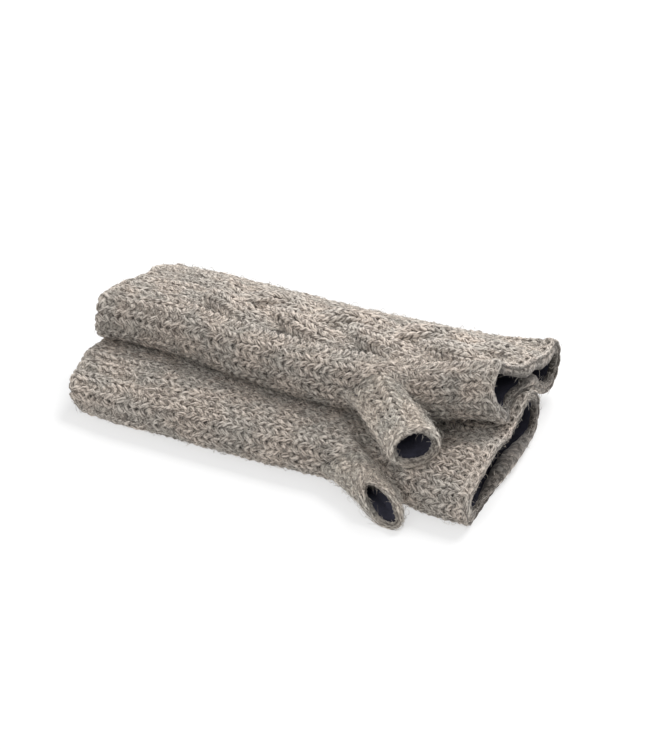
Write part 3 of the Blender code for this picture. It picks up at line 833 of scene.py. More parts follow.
def fleece_material(name):
    """Fleece: a fine nap in the bump and slow changes of shade."""
    material, tree, shader = cloth_material(name, 1.0, 0.25, FLEECE_SHEEN)
    place = tree.add("ShaderNodeTexCoord").outputs["Object"]
    nap = tree.noise(place, NAP_SCALE, 3.0)
    cloud = tree.noise(place, FLEECE_PATCHES, 2.0)
    shade = tree.math("ADD", tree.ramp(cloud, 0.3, 0.7), tree.math("MULTIPLY", nap, 0.5))
    colour = tree.blend(tree.math("MULTIPLY", shade, 0.6), FLEECE_DEEP, FLEECE_LIT)
    link_cloth(tree, shader, colour, nap, 0.7, FLEECE_NAP)
    return material


# The backing's wool is painted dark as shade, and the hairs' wool is painted pale as a highlight.
wool, felted, shaded_backing, highlighted_hairs = [wool_material(name, *values) for name, values in WOOLS.items()]
fleece = fleece_material("fleece_lining")
print("materials:", [m.name for m in (wool, felted, shaded_backing, highlighted_hairs, fleece)])

# %% [markdown]
# ## One stitch
#
# Seen flat, a knit loop is an omega: the yarn runs up one leg, round a head and down the other leg. Across
# the column it moves evenly with a double swing that draws the legs together, and along the column it goes
# down and up once. The legs come forward and the heads and feet go back, which gives the column of Vs. A
# purl stitch is the same loop seen from behind, so its height changes sign.

# %% Rows of stitches on a surface
ROW = 4.3
COLUMNS = 30
CUFF_COLUMNS = 40
LOOP_SWING = 0.26
LOOP_REACH = 3.25
LOOP_DEPTH = 1.0
LOOP_CREST = -0.6
UNEVEN_ACROSS = 0.09
UNEVEN_ALONG = 0.6
UNEVEN_HEIGHT = 0.35
WANDER_ALONG = 0.8
WANDER_ACROSS = 0.1
WANDER_HEIGHT = 0.3
# Waves of the wandering: radians for a millimetre along, turns round the tube, start, and share
WANDER_WAVES = ((0.31, 3.0, 0.0, 1.0), (0.19, -7.0, 1.7, 1.0), (0.43, 11.0, 4.1, 0.9))
WANDER_SHARE = 0.35
# Waves of the yarn's thickness: share, radians for a step along, and for a row
YARN_WAVES = ((0.08, 1.9, 2.4), (0.07, 3.7, -1.3))
YARN_STEP = 12.0


def hash_noise(values, seed):
    """A repeatable number from -1 to 1 for each value: the fraction of a large sine."""
    wild = np.sin(values * 12.9898 + seed * 78.233) * 43758.5453
    return 2.0 * (wild - np.floor(wild)) - 1.0


def loops(faces, steps, rows, seed):
    """Across, along and height of rows of loops, for columns whose faces are 1 (knit) or -1 (purl).

    across = t + swing * sin(4 pi t), along = -reach * cos(2 pi t), height = -depth * cos(4 pi t) * face,
    each with a little unevenness of its own in every stitch.
    """
    columns = len(faces)
    t = np.arange(columns * steps + 1) / steps
    within = t - np.floor(t)
    face = np.interp(t, np.arange(columns) + 0.5, faces)
    column = np.minimum(np.floor(t), columns - 1)
    id_ = column[None, :] + 131.0 * np.arange(rows)[:, None]
    ease = np.sin(math.pi * within)[None, :]
    rough = [hash_noise(id_, seed + draw) for draw in (0.0, 1.0, 2.0)]
    across = t + LOOP_SWING * np.sin(2.0 * TURN * within) + UNEVEN_ACROSS * ease * rough[0]
    along = -LOOP_REACH * np.cos(TURN * within) + UNEVEN_ALONG * ease * rough[1]
    height = -LOOP_DEPTH * np.cos(2.0 * TURN * within) * face + UNEVEN_HEIGHT * ease * rough[2]
    return across, along, height


def waves(table, x, u):
    """A sum of sines along and round a tube: each row's share * sin(along * x + turns * 2 pi u + start)."""
    turn = TURN * u
    return sum(share * np.sin(along * x + turns * turn + start) for along, turns, start, share in table)


def waver(x, u):
    """Slow wandering of hand knitting, -1 to 1: waves along and round the tube that don't repeat together."""
    return WANDER_SHARE * waves(WANDER_WAVES, x, u)


def yarn_radius(count, steps, seed):
    """Handspun yarn, thicker and thinner along its length: its radius times 1 plus two slow sines."""
    along = np.arange(steps)[None, :] / YARN_STEP
    row = np.arange(count)[:, None] + seed
    thickness = 1.0
    for share, by_step, by_row in YARN_WAVES:
        thickness = thickness + share * np.sin(by_step * along + by_row * row)
    return YARN * thickness


def knit_hand(side, rows_x, columns, steps, sides, seed, purls=()):
    """Rows of stitches round a hand warmer, at the rows' places x and for the given columns."""
    faces = np.where(np.isin(columns, purls), -1.0, 1.0)
    across, along, height = loops(faces, steps, len(rows_x), seed)
    u = (columns[0] - 0.5 + across) / COLUMNS
    x = rows_x[:, None] + along
    x = x + WANDER_ALONG * waver(x, u)
    u = open_slot(side, x, u + WANDER_ACROSS * waver(x + 50.0, u) / COLUMNS)
    lift = LOOP_CREST + height + WANDER_HEIGHT * waver(x + 20.0, u)
    paths, normals = on_hand(side, x, u, lift)
    return sweep(paths, normals, yarn_radius(*x.shape, seed), sides)


def row_places(first, last):
    """Rows' places from first to last, evenly spaced at about ROW."""
    count = max(1, round((last - first) / ROW))
    return first + (np.arange(count) + 0.5) * (last - first) / count


print("rows in one hand:", len(row_places(CUFF_END, LAST["lower"] - EDGE_LENGTH)))

# %% [markdown]
# ## Cuffs
#
# The cuff is knit one, purl one, so every other column stands up as a rib and the columns between sink. The
# same loops make both. Ribbing closes up over its purl columns, so the knit ones are drawn wider.

# %% Cuffs
CUFF_STEPS = 12
CUFF_WIDEN = 0.2
CUFF_MARGIN = 1.0
CUFF_WANDER = 0.7
CUFF_SINK = 0.6
CUFF_SEED = 3.0
RIB_EXTRA = 0.5
RIB_FADE = 12.0


def add_cuff(side):
    """Ribbing: knit columns lifted and wide, purl columns sunk and narrow, in rings round the wrist.

    Places are moved from p to p - CUFF_WIDEN * sin(pi * p), where the knit columns' middles are odd.
    """
    rows_x = row_places(FIRST[side] + CUFF_MARGIN, CUFF_END)
    faces = np.where(np.arange(CUFF_COLUMNS + 1) % 2 == 1, 1.0, -1.0)
    across, along, height = loops(faces, CUFF_STEPS, len(rows_x), CUFF_SEED)
    u = (across - 0.5 - CUFF_WIDEN * np.sin(math.pi * (across - 0.5))) / CUFF_COLUMNS
    x = rows_x[:, None] + along
    fade = 1.0 - soft_step((x - CUFF_END + RIB_FADE / 2.0) / RIB_FADE)
    rib = (RIB_HEIGHT + RIB_EXTRA) * np.abs(np.sin(math.pi * CUFF_COLUMNS / 2.0 * u)) * fade
    x = x + CUFF_WANDER * waver(x, u)
    paths, normals = on_hand(side, x, u, LOOP_CREST - CUFF_SINK * fade + height + rib)
    kept = x.shape[1] - CUFF_STEPS
    yarns = sweep(paths[:, :kept], normals[:, :kept], yarn_radius(len(rows_x), kept, CUFF_SEED), 6)
    return add_yarn(f"{side}_cuff_knit", side, [yarns], wool, [f"{side}_cuff"])


cuffs = {side: add_cuff(side) for side in SECTIONS}

# %% [markdown]
# ## Plain knitting
#
# The rest is plain stockinette, apart from the plait on the back of the hand. Back and palm are pieces of
# their own, parted along the folds as the solids are. Beside the thumb's slot the rows stop short of the
# fold. The columns that the camera sees are drawn finely, and the hidden ones with fewer corners, which keeps
# the model light.

# %% Plain halves
HAND_SEED = 5.0
SLOT_SEED = 9.0
HALVES = {
    # side, solid, and bands: columns, steps for a stitch, sides round the yarn
    "lower_palm_knit": ("lower", "lower_palm", [(range(0, 11), 16, 6), (range(11, 16), 10, 4)]),
    "lower_back_knit": ("lower", "lower_back", [(range(16, 30), 8, 4)]),
    "upper_palm_knit": ("upper", "upper_palm", [(range(16, 30), 12, 5)]),
}


def hand_rows(side):
    """Places of a hand's rows, and which of them run beside the thumb's slot."""
    rows_x = row_places(CUFF_END, LAST[side] - EDGE_LENGTH * 0.5)
    first, last, _ = THUMBS[side]["slot"]
    return rows_x, (rows_x > first - 1.0) & (rows_x < last + 1.0)


def knit_band(side, columns, steps, sides, purls=()):
    """Full rows of a band of columns, and shorter ones beside the slot, without the column on the fold."""
    rows_x, by_slot = hand_rows(side)
    short = [column for column in columns if column % COLUMNS]
    return [
        knit_hand(side, rows_x[~by_slot], columns, steps, sides, HAND_SEED, purls),
        knit_hand(side, rows_x[by_slot], short, steps, sides, SLOT_SEED, purls),
    ]


def add_half(name, side, node, bands):
    """Stockinette over one half of a hand, band by band."""
    sweeps = [yarns for band in bands for yarns in knit_band(side, *band)]
    return add_yarn(name, side, sweeps, wool, [node])


halves = [add_half(name, *half) for name, half in HALVES.items()]

# %% [markdown]
# ## The plait
#
# Three strands, each three stitches wide, swing from side to side a third of a period apart. A strand rises
# on the way over its neighbour and dips on the way under. Each strand is a small surface of its own, arched
# across, and its stitches are laid on it in the same way as on the hand.

# %% Strands of the plait
PLAIT_START = 44.0
PLAIT_PERIOD = 133.0
PLAIT_SWING = 14.5
PLAIT_PHASE = 0.55
STRAND_HALF = 8.7
PLAIT_NEARER = 5.5
STRAND_HEIGHT = 4.3
STRAND_OVER = 3.5
STRAND_COLUMNS = 3
STRAND_FADE = 26.0
STRAND_YARN = 1.13
STRAND_STEPS = 14
STRAND_FLATTEN = 0.8
ARCH_STEPS = 24
ARCH_POWER = 0.8
PLAIT_LEAD = 6.0
PLAIT_RISE = 10.0
GUTTERS = (3, 10)
FAR_SEED = 13.0


def plait_middle(x):
    """The plait's middle line as a share of the girth: PLAIT_NEARER than half way between the folds."""
    u = np.linspace(0.0, 0.5, 101)
    points, _ = on_hand("upper", x[:, None], u[None, :], 0.0)
    wanted = 0.5 * (points[:, 0, 1] + points[:, -1, 1]) - PLAIT_NEARER
    return np.array([np.interp(w, row[:, 1], u) for w, row in zip(wanted, points)])


def strand_surface(strand):
    """One strand: its middle swings as a sine, its height rises and dips twice as often, arched across."""
    x = np.linspace(PLAIT_START - PLAIT_LEAD, LAST["upper"] - EDGE_LENGTH, 160)
    phase = TURN * ((x - PLAIT_START) / PLAIT_PERIOD + PLAIT_PHASE + strand / 3.0)
    arch = np.linspace(-math.pi / 2.0, math.pi / 2.0, ARCH_STEPS + 1)[None, :]
    offset = (PLAIT_SWING * np.sin(phase))[:, None] + STRAND_HALF * np.sin(arch)
    ends = soft_step((x - PLAIT_START + PLAIT_LEAD) / PLAIT_RISE)
    ends = ends * soft_step((LAST["upper"] - x) / STRAND_FADE)
    tall = (STRAND_HEIGHT + STRAND_OVER * np.sin(2.0 * phase)) * ends
    u = plait_middle(x)[:, None] + offset / girth("upper", x)[:, None]
    points, normals = on_hand("upper", x[:, None], u, tall[:, None] * np.cos(arch) ** ARCH_POWER - 1.0)
    return Surface(points, normals)


def knit_strand(strand):
    """Rows of STRAND_COLUMNS stitches along a strand, a third of a row on from the strand before."""
    surface = strand_surface(strand)
    length = np.linalg.norm(np.diff(surface.points[:, ARCH_STEPS // 2], axis=0), axis=1).sum()
    count = round(length / ROW)
    across, along, height = loops(np.ones(STRAND_COLUMNS), STRAND_STEPS, count, 20.0 + strand)
    place = (np.arange(count)[:, None] + 0.5 + strand / 3.0) / (count + 0.7) + along / length
    paths, normals = surface.at(place, across / STRAND_COLUMNS, LOOP_CREST + STRAND_FLATTEN * height)
    return sweep(paths, normals, STRAND_YARN * yarn_radius(count, across.shape[-1], 7.0 * strand), 6)


def add_upper_back():
    """The back of the hand: plain columns, a purl gutter either side, and the three strands."""
    rows_x, _ = hand_rows("upper")
    sweeps = knit_band("upper", range(0, GUTTERS[0] + 1), 16, 6, GUTTERS)
    sweeps.append(knit_hand("upper", rows_x, range(GUTTERS[1], 16), 12, 6, FAR_SEED, GUTTERS))
    sweeps += [knit_strand(strand) for strand in range(3)]
    return add_yarn("upper_back_knit", "upper", sweeps, wool, ["upper_back"])


halves.append(add_upper_back())

# %% [markdown]
# ## Thumbs
#
# The thumbs are knit in smaller rounds and have been rubbed more, so their stitches are flatter and the
# yarns have begun to felt together.

# %% Knit thumbs
THUMB_COLUMNS = 11
THUMB_ROW = 4.0
THUMB_STEPS = 12
THUMB_MARGIN = 3.0
THUMB_REACH = 0.9
THUMB_FLATTEN = 0.7
THUMB_YARN = 1.08
THUMB_SEED = 31.0


def add_thumb(side):
    """Rings of flatter stitches from the slot to the mouth."""
    surface = THUMB_SKINS[side]
    length = thumb_length(side)
    count = round((length - THUMB_MARGIN) / THUMB_ROW)
    across, along, height = loops(np.ones(THUMB_COLUMNS), THUMB_STEPS, count, THUMB_SEED)
    place = ((np.arange(count)[:, None] + 0.4) * THUMB_ROW + along * THUMB_REACH) / length
    paths, normals = surface.at(place, across / THUMB_COLUMNS, LOOP_CREST - 0.1 + THUMB_FLATTEN * height)
    yarns = sweep(paths, normals, YARN * THUMB_YARN, 6)
    return add_yarn(f"{side}_thumb_knit", side, [yarns], felted, [f"{side}_thumb"])


thumbs = {side: add_thumb(side) for side in THUMBS}

# %% [markdown]
# ## Edges
#
# Casting off leaves a chain along the edge: each stitch is a teardrop that starts under the one before it.
# Under the chain the cloth's raw edge is a thick round lip.

# %% Chains and lips
CHAIN_STEPS = 14
CHAIN_REACH = 0.82
CHAIN_WIDE = 1.15
CHAIN_TAPER = 0.25
CHAIN_TIP = 0.55
LIP_POINTS = 160
# Waves round a lip: none along it, turns, start, and share
LIP_STITCHES = ((0.0, 26.0, 0.0, 0.16), (0.0, 17.0, 1.0, 0.12))
LIP_SLOW = ((0.0, 2.0, 0.6, 1.0), (0.0, 5.0, 2.1, 0.7))
LIP_THICKER = 0.5
LIP_FURTHER = 0.004
LIP_LOWER = 0.4


def chain(surface, place, length, count, width, lift, radius):
    """Teardrops round an edge: 0.5 - CHAIN_REACH * cos along it, sin across it, and higher at the tip."""
    turn = TURN * np.arange(CHAIN_STEPS)[None, :] / CHAIN_STEPS
    b = (np.arange(count)[:, None] + 0.5 - CHAIN_REACH * np.cos(turn)) / count
    a = place + width * np.sin(turn) * (CHAIN_WIDE - CHAIN_TAPER * np.cos(turn)) / length
    paths, normals = surface.at(a, b, lift - CHAIN_TIP * np.cos(turn))
    return sweep(paths, normals, radius, 6, closed=True)


def lip(surface, place, lift, radius, uneven, points=LIP_POINTS):
    """One thick roll round an edge, thicker and thinner by `uneven` and swelling with each stitch."""
    b = np.arange(points)[None, :] / points
    slow = uneven * waves(LIP_SLOW, 0.0, b)
    size = np.asarray(radius) + waves(LIP_STITCHES, 0.0, b) + LIP_THICKER * slow
    paths, normals = surface.at(place + LIP_FURTHER * slow, b, lift - LIP_LOWER * slow)
    return sweep(paths, normals, size, 8, closed=True)


LIP_SWELLS = {
    "lower": [(0.73, 0.17, 2.7), (0.98, 0.08, 1.0)],
    "upper": [(0.97, 0.11, 0.9), (0.255, 0.07, 2.0), (0.35, 0.13, 1.8), (0.745, 0.07, 1.5)],
}
CHAIN_SIZE = {"lower": (1.9, 1.3), "upper": (2.3, 1.4)}
CHAIN_BACK = 2.6
CHAIN_LIFT = 0.4
LIP_BACK = 1.6
LIP_SINK = 1.9
LIP_RADIUS = 2.1
LIP_UNEVEN = 0.3


def add_edge(side):
    """The cast-off chain and lip at the finger mouth, rolled inwards and thicker at LIP_SWELLS."""
    surface = HANDS[side]
    length = LAST[side] - FIRST[side]
    b = np.arange(LIP_POINTS)[None, :] / LIP_POINTS
    swell = sum(amount * hump_round(b, place, reach) for place, reach, amount in LIP_SWELLS[side])
    width, radius = CHAIN_SIZE[side]
    sweeps = [
        chain(surface, 1.0 - CHAIN_BACK / length, length, COLUMNS, width, CHAIN_LIFT, radius),
        lip(surface, 1.0 - LIP_BACK / length, -LIP_SINK - swell, LIP_RADIUS + swell, LIP_UNEVEN),
    ]
    return add_yarn(f"{side}_bind_off_chain", side, sweeps, wool, [f"{side}_bind_off"])


# Lift, radius and unevenness of the lip at the wrist
CAST_ON = (-0.9, 2.3, 0.2)


def add_cast_on(side):
    """The cast-on lip at the wrist."""
    length = LAST[side] - FIRST[side]
    edge = lip(HANDS[side], LIP_BACK / length, *CAST_ON)
    return add_yarn(f"{side}_cast_on", side, [edge], wool, [])


THUMB_CHAIN_LIFT = {"lower": -0.9, "upper": 0.0}
THUMB_LIP = {"lower": (-2.1, 1.6), "upper": (-1.7, 2.3)}
THUMB_CHAIN_BACK = 0.035
THUMB_CHAIN_LENGTH = 60.0
THUMB_CHAIN_SIZE = (1.5, 1.2)
THUMB_LIP_BACK = 0.02
THUMB_LIP_UNEVEN = 0.35
THUMB_LIP_POINTS = 80


def add_thumb_edge(side):
    """The chain and lip round a thumb's mouth."""
    surface = THUMB_SKINS[side]
    place = 1.0 - THUMB_CHAIN_BACK
    width, radius = THUMB_CHAIN_SIZE
    sweeps = [
        chain(surface, place, THUMB_CHAIN_LENGTH, THUMB_COLUMNS, width, THUMB_CHAIN_LIFT[side], radius),
        lip(surface, 1.0 - THUMB_LIP_BACK, *THUMB_LIP[side], THUMB_LIP_UNEVEN, points=THUMB_LIP_POINTS),
    ]
    return add_yarn(f"{side}_thumb_edge", side, sweeps, felted, [])


edges = {side: [add_edge(side), add_cast_on(side), add_thumb_edge(side)] for side in SECTIONS}

# %% [markdown]
# ## Hairs
#
# Wool that isn't combed straight sheds fibres out of the yarn. Most lie on the cloth and blur the stitches,
# some stand off it and soften the outline, and more show along every edge. A hair is a thin tube with three
# sides that closes to a point at both ends, so it has only twelve triangles.

# %% Many hairs at once
HAIR_RINGS = 2


def hair_mesh(paths, normals, radius):
    """Hairs from paths[hair, point] with a tip at each end and three-sided rings between."""
    hairs, count = paths.shape[:2]
    tangent = unit(np.gradient(paths, axis=1))
    side_way = unit(np.cross(tangent, normals))
    lift = np.cross(side_way, tangent)
    turn = TURN * np.arange(3) / 3.0
    ring = np.cos(turn)[:, None] * lift[:, 1:-1, None] + np.sin(turn)[:, None] * side_way[:, 1:-1, None]
    rings = paths[:, 1:-1, None] + np.asarray(radius)[:, None, None, None] * ring
    points = np.concatenate([paths[:, :1], rings.reshape(hairs, -1, 3), paths[:, -1:]], axis=1)
    per_hair = points.shape[1]
    ids = 1 + np.arange(3 * (count - 2)).reshape(count - 2, 3)
    beside = np.roll(ids, -1, 1)
    sides = np.stack([ids[:-1], beside[:-1], beside[1:], ids[1:]], -1).reshape(-1, 4)
    first = np.stack([np.zeros(3, int), beside[0], ids[0]], -1)
    last = np.stack([np.full(3, per_hair - 1), ids[-1], beside[-1]], -1)
    start = per_hair * np.arange(hairs)[:, None, None]
    quads = (sides[None] + start).reshape(-1, 4)
    triangles = (np.vstack([first, last])[None] + start).reshape(-1, 3)
    step = np.concatenate([[0], np.repeat(np.arange(1, count - 1), 3), [count - 1]])
    place = np.concatenate([[0], np.tile(np.arange(3), count - 2), [0]])
    corner = np.concatenate([quads.ravel(), triangles.ravel()])
    hair = corner // per_hair
    local = corner % per_hair
    cells = math.ceil(math.sqrt(hairs))
    cell = np.stack([hair % cells, hair // cells], -1)
    yarn = np.stack([2.0 * step[local] + 37.3 * hair, 0.2 * place[local]], -1)
    bake = (cell + 0.05 + 0.9 * np.stack([step[local] / (count - 1), place[local] / 2.0], -1)) / cells
    return points.reshape(-1, 3), quads, triangles, {"yarn": yarn, "OFBake": bake}


print("triangles in a hair:", 6 * HAIR_RINGS)

# %% [markdown]
# ## Where the hairs lie
#
# A hair on the cloth starts anywhere, runs its own way and bends a little. Three out of four lie with both
# ends down, and the rest have a free end. A hair out of an edge curls more. Every hair's numbers are drawn
# from a generator with a fixed seed, so the wool looks the same in each run.

# %% Hairs on the cloth and at the edges
RISE_MOST = 3.2
HAIR_BEND = 1.1
HAIR_CREST = 0.9
HAIR_UNEVEN = 0.25
ARCHED_SHARE = 0.75
HAIR_RADIUS = (0.06, 0.07)
EDGE_CURL = 1.6
# An edge hair's least, mean and greatest length, as shares of the length asked for
EDGE_REACH = (0.25, 0.5, 1.6)
EDGE_OUT = (0.2, 0.6)
EDGE_LIFT = (-3.4, 1.2)
EDGE_RISE = (-0.1, 0.45)
EDGE_ROOT = 0.4
SEEN_FROM = -0.07
SEEN_HAIRS = {"lower": (0.30, 5800, 1500), "upper": (0.55, 10400, 2400)}
UNDER_HAIRS = (700, (0.0, 1.0, 0.45, 1.0))
THUMB_HAIRS = (1300, 450)
THUMB_SIZE = (60.0, 75.0)
EVERYWHERE = (0.0, 1.0, 0.0, 1.0)
# Length and height in millimetres, and seed
LYING = (6.5, 0.3, 1)
STANDING = (6.0, 1.2, 2)
UNDER = (7.0, 0.6, 3)
THUMB_LYING = (6.5, 0.5, 6)
THUMB_STANDING = (7.0, 1.4, 8)
# How many hairs at an edge, their length in millimetres, and seed
MOUTH_FRINGE = (1100, 4.5, 4)
WRIST_FRINGE = (450, 4.5, 5)
THUMB_FRINGE = (260, 4.0, 7)


def hair_paths(surface, size, number, spread, length, stand, seed):
    """Paths of hairs that start at random places, drift over the surface and rise off it.

    `size` is the surface's length and girth. `spread` gives the lowest and highest place along it and round
    it. Each hair runs a random way, bends a little, and rises from the yarn's crest by about `stand`.
    """
    draw = np.random.RandomState(seed)
    low_a, high_a, low_b, high_b = spread
    a = draw.uniform(low_a, high_a, (number, 1))
    b = draw.uniform(low_b, high_b, (number, 1))
    way = draw.uniform(0.0, TURN, (number, 1))
    bend = draw.normal(0.0, HAIR_BEND, (number, 1))
    reach = length * draw.uniform(0.5, 1.5, (number, 1))
    t = np.linspace(0.0, 1.0, HAIR_RINGS + 2)[None, :]
    heading = way + bend * (t - 0.5)
    run = reach * (t - 0.5)
    rise = np.minimum(draw.exponential(stand, (number, 1)), RISE_MOST)
    arc = np.where(draw.rand(number, 1) < ARCHED_SHARE, 4.0 * t * (1.0 - t), t * t)
    lift = HAIR_CREST + draw.normal(0.0, HAIR_UNEVEN, (number, 1)) + rise * arc
    a = np.clip(a + run * np.cos(heading) / size[0], 0.0, 1.0)
    return surface.at(a, b + run * np.sin(heading) / size[1], lift)


def edge_hairs(surface, size, end, number, length, seed):
    """Hairs out of an edge: from the lip along, round and across the opening, each curling its own way.

    A hair's length is drawn from an exponential, and its way turns evenly from start to tip.
    """
    draw = np.random.RandomState(seed)
    t = np.linspace(0.0, 1.0, HAIR_RINGS + 2)[None, :]
    b = draw.uniform(0.0, 1.0, (number, 1))
    least, mean, most = [share * length for share in EDGE_REACH]
    reach = np.minimum(least + draw.exponential(mean, (number, 1)), most)
    way = draw.uniform(0.0, TURN, (number, 1)) + draw.normal(0.0, EDGE_CURL, (number, 1)) * t
    out = reach * t * np.cos(way) * draw.uniform(*EDGE_OUT, (number, 1))
    round_ = reach * t * np.sin(way)
    lift = draw.uniform(*EDGE_LIFT, (number, 1)) + reach * t * draw.normal(*EDGE_RISE, (number, 1))
    ahead = 1.0 if end > 0.5 else -1.0
    return surface.at(end + ahead * (out - EDGE_ROOT) / size[0], b + round_ / size[1], lift)


def add_hairs(name, side, batches):
    """One piece of hairs from batches of paths."""
    paths = np.concatenate([batch[0] for batch in batches])
    normals = np.concatenate([batch[1] for batch in batches])
    paths = settle(side, paths)
    radius = HAIR_RADIUS[0] + HAIR_RADIUS[1] * np.random.RandomState(len(paths)).rand(len(paths))
    points, quads, triangles, maps = hair_mesh(paths, normals, radius)
    # The hairs' wool is painted paler than the yarn, a painted highlight.
    piece = add_mesh(name, points, quads, maps, highlighted_hairs, triangles)
    print(name, "hairs:", len(paths), "triangles:", 2 * len(quads) + len(triangles))
    return piece


def hand_hairs(side):
    """Lying and standing hairs over the part that is seen, some underneath, and a fringe at both ends.

    SEEN_HAIRS has how far round the seen part goes, and how many hairs lie and stand on it.
    """
    size = (LAST[side] - FIRST[side], float(girth(side, 110.0)[0]))
    surface = HANDS[side]
    seen, lying, standing = SEEN_HAIRS[side]
    top = (0.0, 1.0, SEEN_FROM, seen)
    return [
        hair_paths(surface, size, lying, top, *LYING),
        hair_paths(surface, size, standing, top, *STANDING),
        hair_paths(surface, size, *UNDER_HAIRS, *UNDER),
        edge_hairs(surface, size, 1.0, *MOUTH_FRINGE),
        edge_hairs(surface, size, 0.0, *WRIST_FRINGE),
    ]


def thumb_hairs(side):
    """Hairs all over a thumb, and more at its mouth."""
    surface = THUMB_SKINS[side]
    lying, standing = THUMB_HAIRS
    return [
        hair_paths(surface, THUMB_SIZE, lying, EVERYWHERE, *THUMB_LYING),
        hair_paths(surface, THUMB_SIZE, standing, EVERYWHERE, *THUMB_STANDING),
        edge_hairs(surface, THUMB_SIZE, 1.0, *THUMB_FRINGE),
    ]


hairs = {}
for side in SECTIONS:
    hairs[side] = add_hairs(f"{side}_wool_hairs", side, hand_hairs(side))
    hairs[side + "_thumb"] = add_hairs(f"{side}_thumb_hairs", side, thumb_hairs(side))

# %% [markdown]
# ## The cloth behind the yarn
#
# Between the loops one sees the back of the knitting, so a thin plain wall of wool lies just under the
# yarn. It is a sheet, and the size it would have if it were cut open and laid flat is worked out. The fleece
# linings are sheets as well.
# The wall's wool is painted dark, a painted shade for the little light that gets in between the loops.

# %% Walls of wool and fleece
WELD = 0.00001
SHEET_RINGS = 60
THUMB_GRID = (25, 49)
WALL_THICK = 1.0
FLEECE_THICK = 0.9
# A hand's sheets: depth under the skin and distance from the ends in millimetres, points round, ripple
HAND_WALL = (1.7, 1.2, 73, 0.0)
HAND_FLEECE = (3.8, 2.6, 109, 0.35)
# A thumb's sheets: depth in millimetres, and the places where they start and end
THUMB_WALL = (1.7, 0.0, 0.97)
THUMB_FLEECE = (3.7, 0.05, 0.94)
# Ripples of the fleece: radians for a millimetre along, turns round, start, and share
RIPPLES = ((0.08, 5.0, 0.0, 1.0), (-0.13, 9.0, 1.3, 0.7))


def add_sheet(name, side, points, thickness, finish, nodes):
    """A tube from rings of points that may meet at its seam, welded there and given a thickness."""
    rows, columns = points.shape[:2]
    ids = np.arange(rows * columns).reshape(rows, columns)
    quads = np.stack([ids[:-1, :-1], ids[:-1, 1:], ids[1:, 1:], ids[1:, :-1]], axis=-1).reshape(-1, 4)
    a, b = np.meshgrid(np.linspace(0.0, 1.0, rows), np.linspace(0.0, 1.0, columns), indexing="ij")
    flat = np.stack([a, b], axis=-1).reshape(-1, 2)[quads]
    length = np.linalg.norm(np.diff(points, axis=0), axis=-1).sum(axis=0).mean()
    corners = points.reshape(-1, 3)[quads]
    crossed = np.cross(corners[:, 2] - corners[:, 0], corners[:, 3] - corners[:, 1])
    round_ring = 0.5 * np.linalg.norm(crossed, axis=-1).sum() / length
    maps = {"yarn": flat * np.array([length, round_ring])}
    piece = add_mesh(name, settle(side, points.reshape(-1, 3)), quads, maps, finish)
    shape = bmesh.new()
    shape.from_mesh(piece.data)
    bmesh.ops.remove_doubles(shape, verts=shape.verts, dist=WELD)
    shape.to_mesh(piece.data)
    shape.free()
    wall = piece.modifiers.new("wall", "SOLIDIFY")
    wall.thickness = thickness * MM
    wall.offset = -1.0
    if nodes:
        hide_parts(*nodes)
    print(name, "flat size, mm:", round(float(round_ring)), "by", round(float(length)))
    return piece, (float(round_ring) * MM, float(length) * MM)


def hand_sheet(side, depth, margin, columns, ripple):
    """Rings of the hand's skin at a depth, opened at the thumb's slot, with slow ripples of the cloth."""
    x = np.linspace(FIRST[side] + margin, LAST[side] - margin, SHEET_RINGS)[:, None]
    u = np.linspace(0.0, 1.0, columns)[None, :]
    points, _ = on_hand(side, x, open_slot(side, x, u), ripple * waves(RIPPLES, x, u) - depth)
    return points


def thumb_sheet(side, depth, start, end):
    """Rings of a thumb at a depth under its skin."""
    a = np.linspace(start, end, THUMB_GRID[0])[:, None]
    b = np.linspace(0.0, 1.0, THUMB_GRID[1])[None, :]
    points, _ = THUMB_SKINS[side].at(a, b, -depth)
    return points


for side in SECTIONS:
    mine = [half for half in halves if half.name.startswith(side)]
    on_hand_wall = [cuffs[side], hairs[side], *edges[side][:2], *mine]
    on_thumb_wall = [thumbs[side], hairs[side + "_thumb"], edges[side][2]]
    for name, points, slot, on_wall in (
        ("knit_wall", hand_sheet(side, *HAND_WALL), "wool", on_hand_wall),
        ("thumb_wall", thumb_sheet(side, *THUMB_WALL), "felted_wool", on_thumb_wall),
    ):
        # The walls wear the backing wool, painted dark as shade.
        wall, cut = add_sheet(f"{side}_{name}", side, points, WALL_THICK, shaded_backing, [])
    for name, points, node, behind in (
        ("fleece", hand_sheet(side, *HAND_FLEECE), "lining", "knit_wall"),
        ("thumb_fleece", thumb_sheet(side, *THUMB_FLEECE), "thumb_lining", "thumb_wall"),
    ):
        lining, cut = add_sheet(
            f"{side}_{name}", side, points, FLEECE_THICK, fleece, [f"{side}_{node}"]
        )

# %% [markdown]
# ## Camera
#
# The photograph looks down at the near side from the right, from far enough away that the pair hardly
# narrows with distance. A long lens a long way off gives that, and no shift is needed.

# %% Camera
AZIMUTH = math.radians(22.0)
ELEVATION = math.radians(35.0)
DISTANCE = 8.0
VIEW_HEIGHT = 0.3906
LOOK_AT = np.array([-0.0033, 0.0352, 0.0])

SENSOR = 36.0
back = np.array([
    math.sin(AZIMUTH) * math.cos(ELEVATION),
    -math.cos(AZIMUTH) * math.cos(ELEVATION),
    math.sin(ELEVATION),
])
eye = bpy.data.cameras.new("camera")
eye.lens = SENSOR * DISTANCE / VIEW_HEIGHT
eye.sensor_width = SENSOR
eye.clip_end = 30.0
camera = bpy.data.objects.new("camera", eye)
camera.location = LOOK_AT + back * DISTANCE
camera.rotation_euler = (math.pi / 2.0 - ELEVATION, 0.0, AZIMUTH)
bpy.context.scene.collection.objects.link(camera)
bpy.context.scene.camera = camera
print("lens, mm:", round(eye.lens, 1))

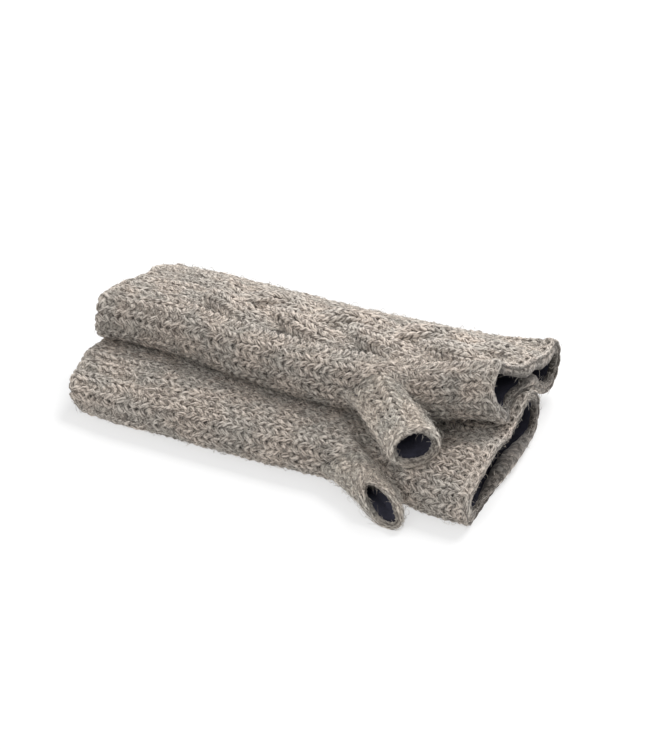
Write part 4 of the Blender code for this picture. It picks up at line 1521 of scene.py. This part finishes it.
# %% [markdown]
# ## Light and table
#
# The main light is a soft one behind and above the pair, which leaves the near sides in shade and a soft
# shadow in front. A weaker and wider one in front fills the shade, and a pale room does the rest. The table
# shines a little by itself, because the photograph's white is brighter than these lights would make it.

# %% Light and table
ROOM_LIGHT = 0.62
AIM = np.array([0.0, 0.0, 0.02])
# Place in metres, size in metres and power in watts
SOFTBOXES = {"back_light": ((0.12, 0.98, 1.05), 0.7, 23.0), "front_fill": ((-0.15, -1.15, 1.2), 1.1, 7.5)}
TABLE_GREY = 0.34
TABLE_SHINE = 0.58
TABLE_HALF = 4.0

room = bpy.data.worlds.new("room")
room.use_nodes = True
room.node_tree.nodes["Background"].inputs["Color"].default_value = (1.0, 1.0, 1.0, 1.0)
room.node_tree.nodes["Background"].inputs["Strength"].default_value = ROOM_LIGHT
bpy.context.scene.world = room
bpy.context.scene.view_settings.view_transform = "Standard"


def add_softbox(name, place, size, power):
    """A square area light at a place, turned to look at AIM."""
    light = bpy.data.lights.new(name, "AREA")
    light.size = size
    light.energy = power
    item = bpy.data.objects.new(name, light)
    item.location = place
    way = AIM - np.array(place)
    tilt = math.atan2(math.hypot(way[0], way[1]), -way[2])
    item.rotation_euler = (tilt, 0.0, math.atan2(-way[0], way[1]))
    bpy.context.scene.collection.objects.link(item)


for name, softbox in SOFTBOXES.items():
    add_softbox(name, *softbox)

white = bpy.data.materials.new("white_table")
white.use_nodes = True
table_shader = white.node_tree.nodes["Principled BSDF"]
table_shader.inputs["Base Color"].default_value = (TABLE_GREY, TABLE_GREY, TABLE_GREY, 1.0)
table_shader.inputs["Roughness"].default_value = 0.9
table_shader.inputs["Emission Color"].default_value = (1.0, 1.0, 1.0, 1.0)
table_shader.inputs["Emission Strength"].default_value = TABLE_SHINE
table_mesh = bpy.data.meshes.new("table")
corners = TABLE_HALF * np.array([(-1.0, -1.0, 0.0), (1.0, -1.0, 0.0), (1.0, 1.0, 0.0), (-1.0, 1.0, 0.0)])
table_mesh.from_pydata(corners.tolist(), [], [(0, 1, 2, 3)])
table_mesh.materials.append(white)
table = bpy.data.objects.new("table", table_mesh)
bpy.context.scene.collection.objects.link(table)
table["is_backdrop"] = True
print("lights, W:", {name: softbox[2] for name, softbox in SOFTBOXES.items()})

# %% [markdown]
# ## Finish
#
# The two boxes, of the imported model and of the dressed one, are compared, and how far their corners lie
# apart is printed.

# %% Sizes and the last line
dressed_box = [list(map(float, corner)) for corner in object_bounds()]
grown = np.abs(np.array(dressed_box) - np.array(cad_box)) / MM
print("outside or inside the solids' box by, mm:", np.round(grown, 1).tolist())
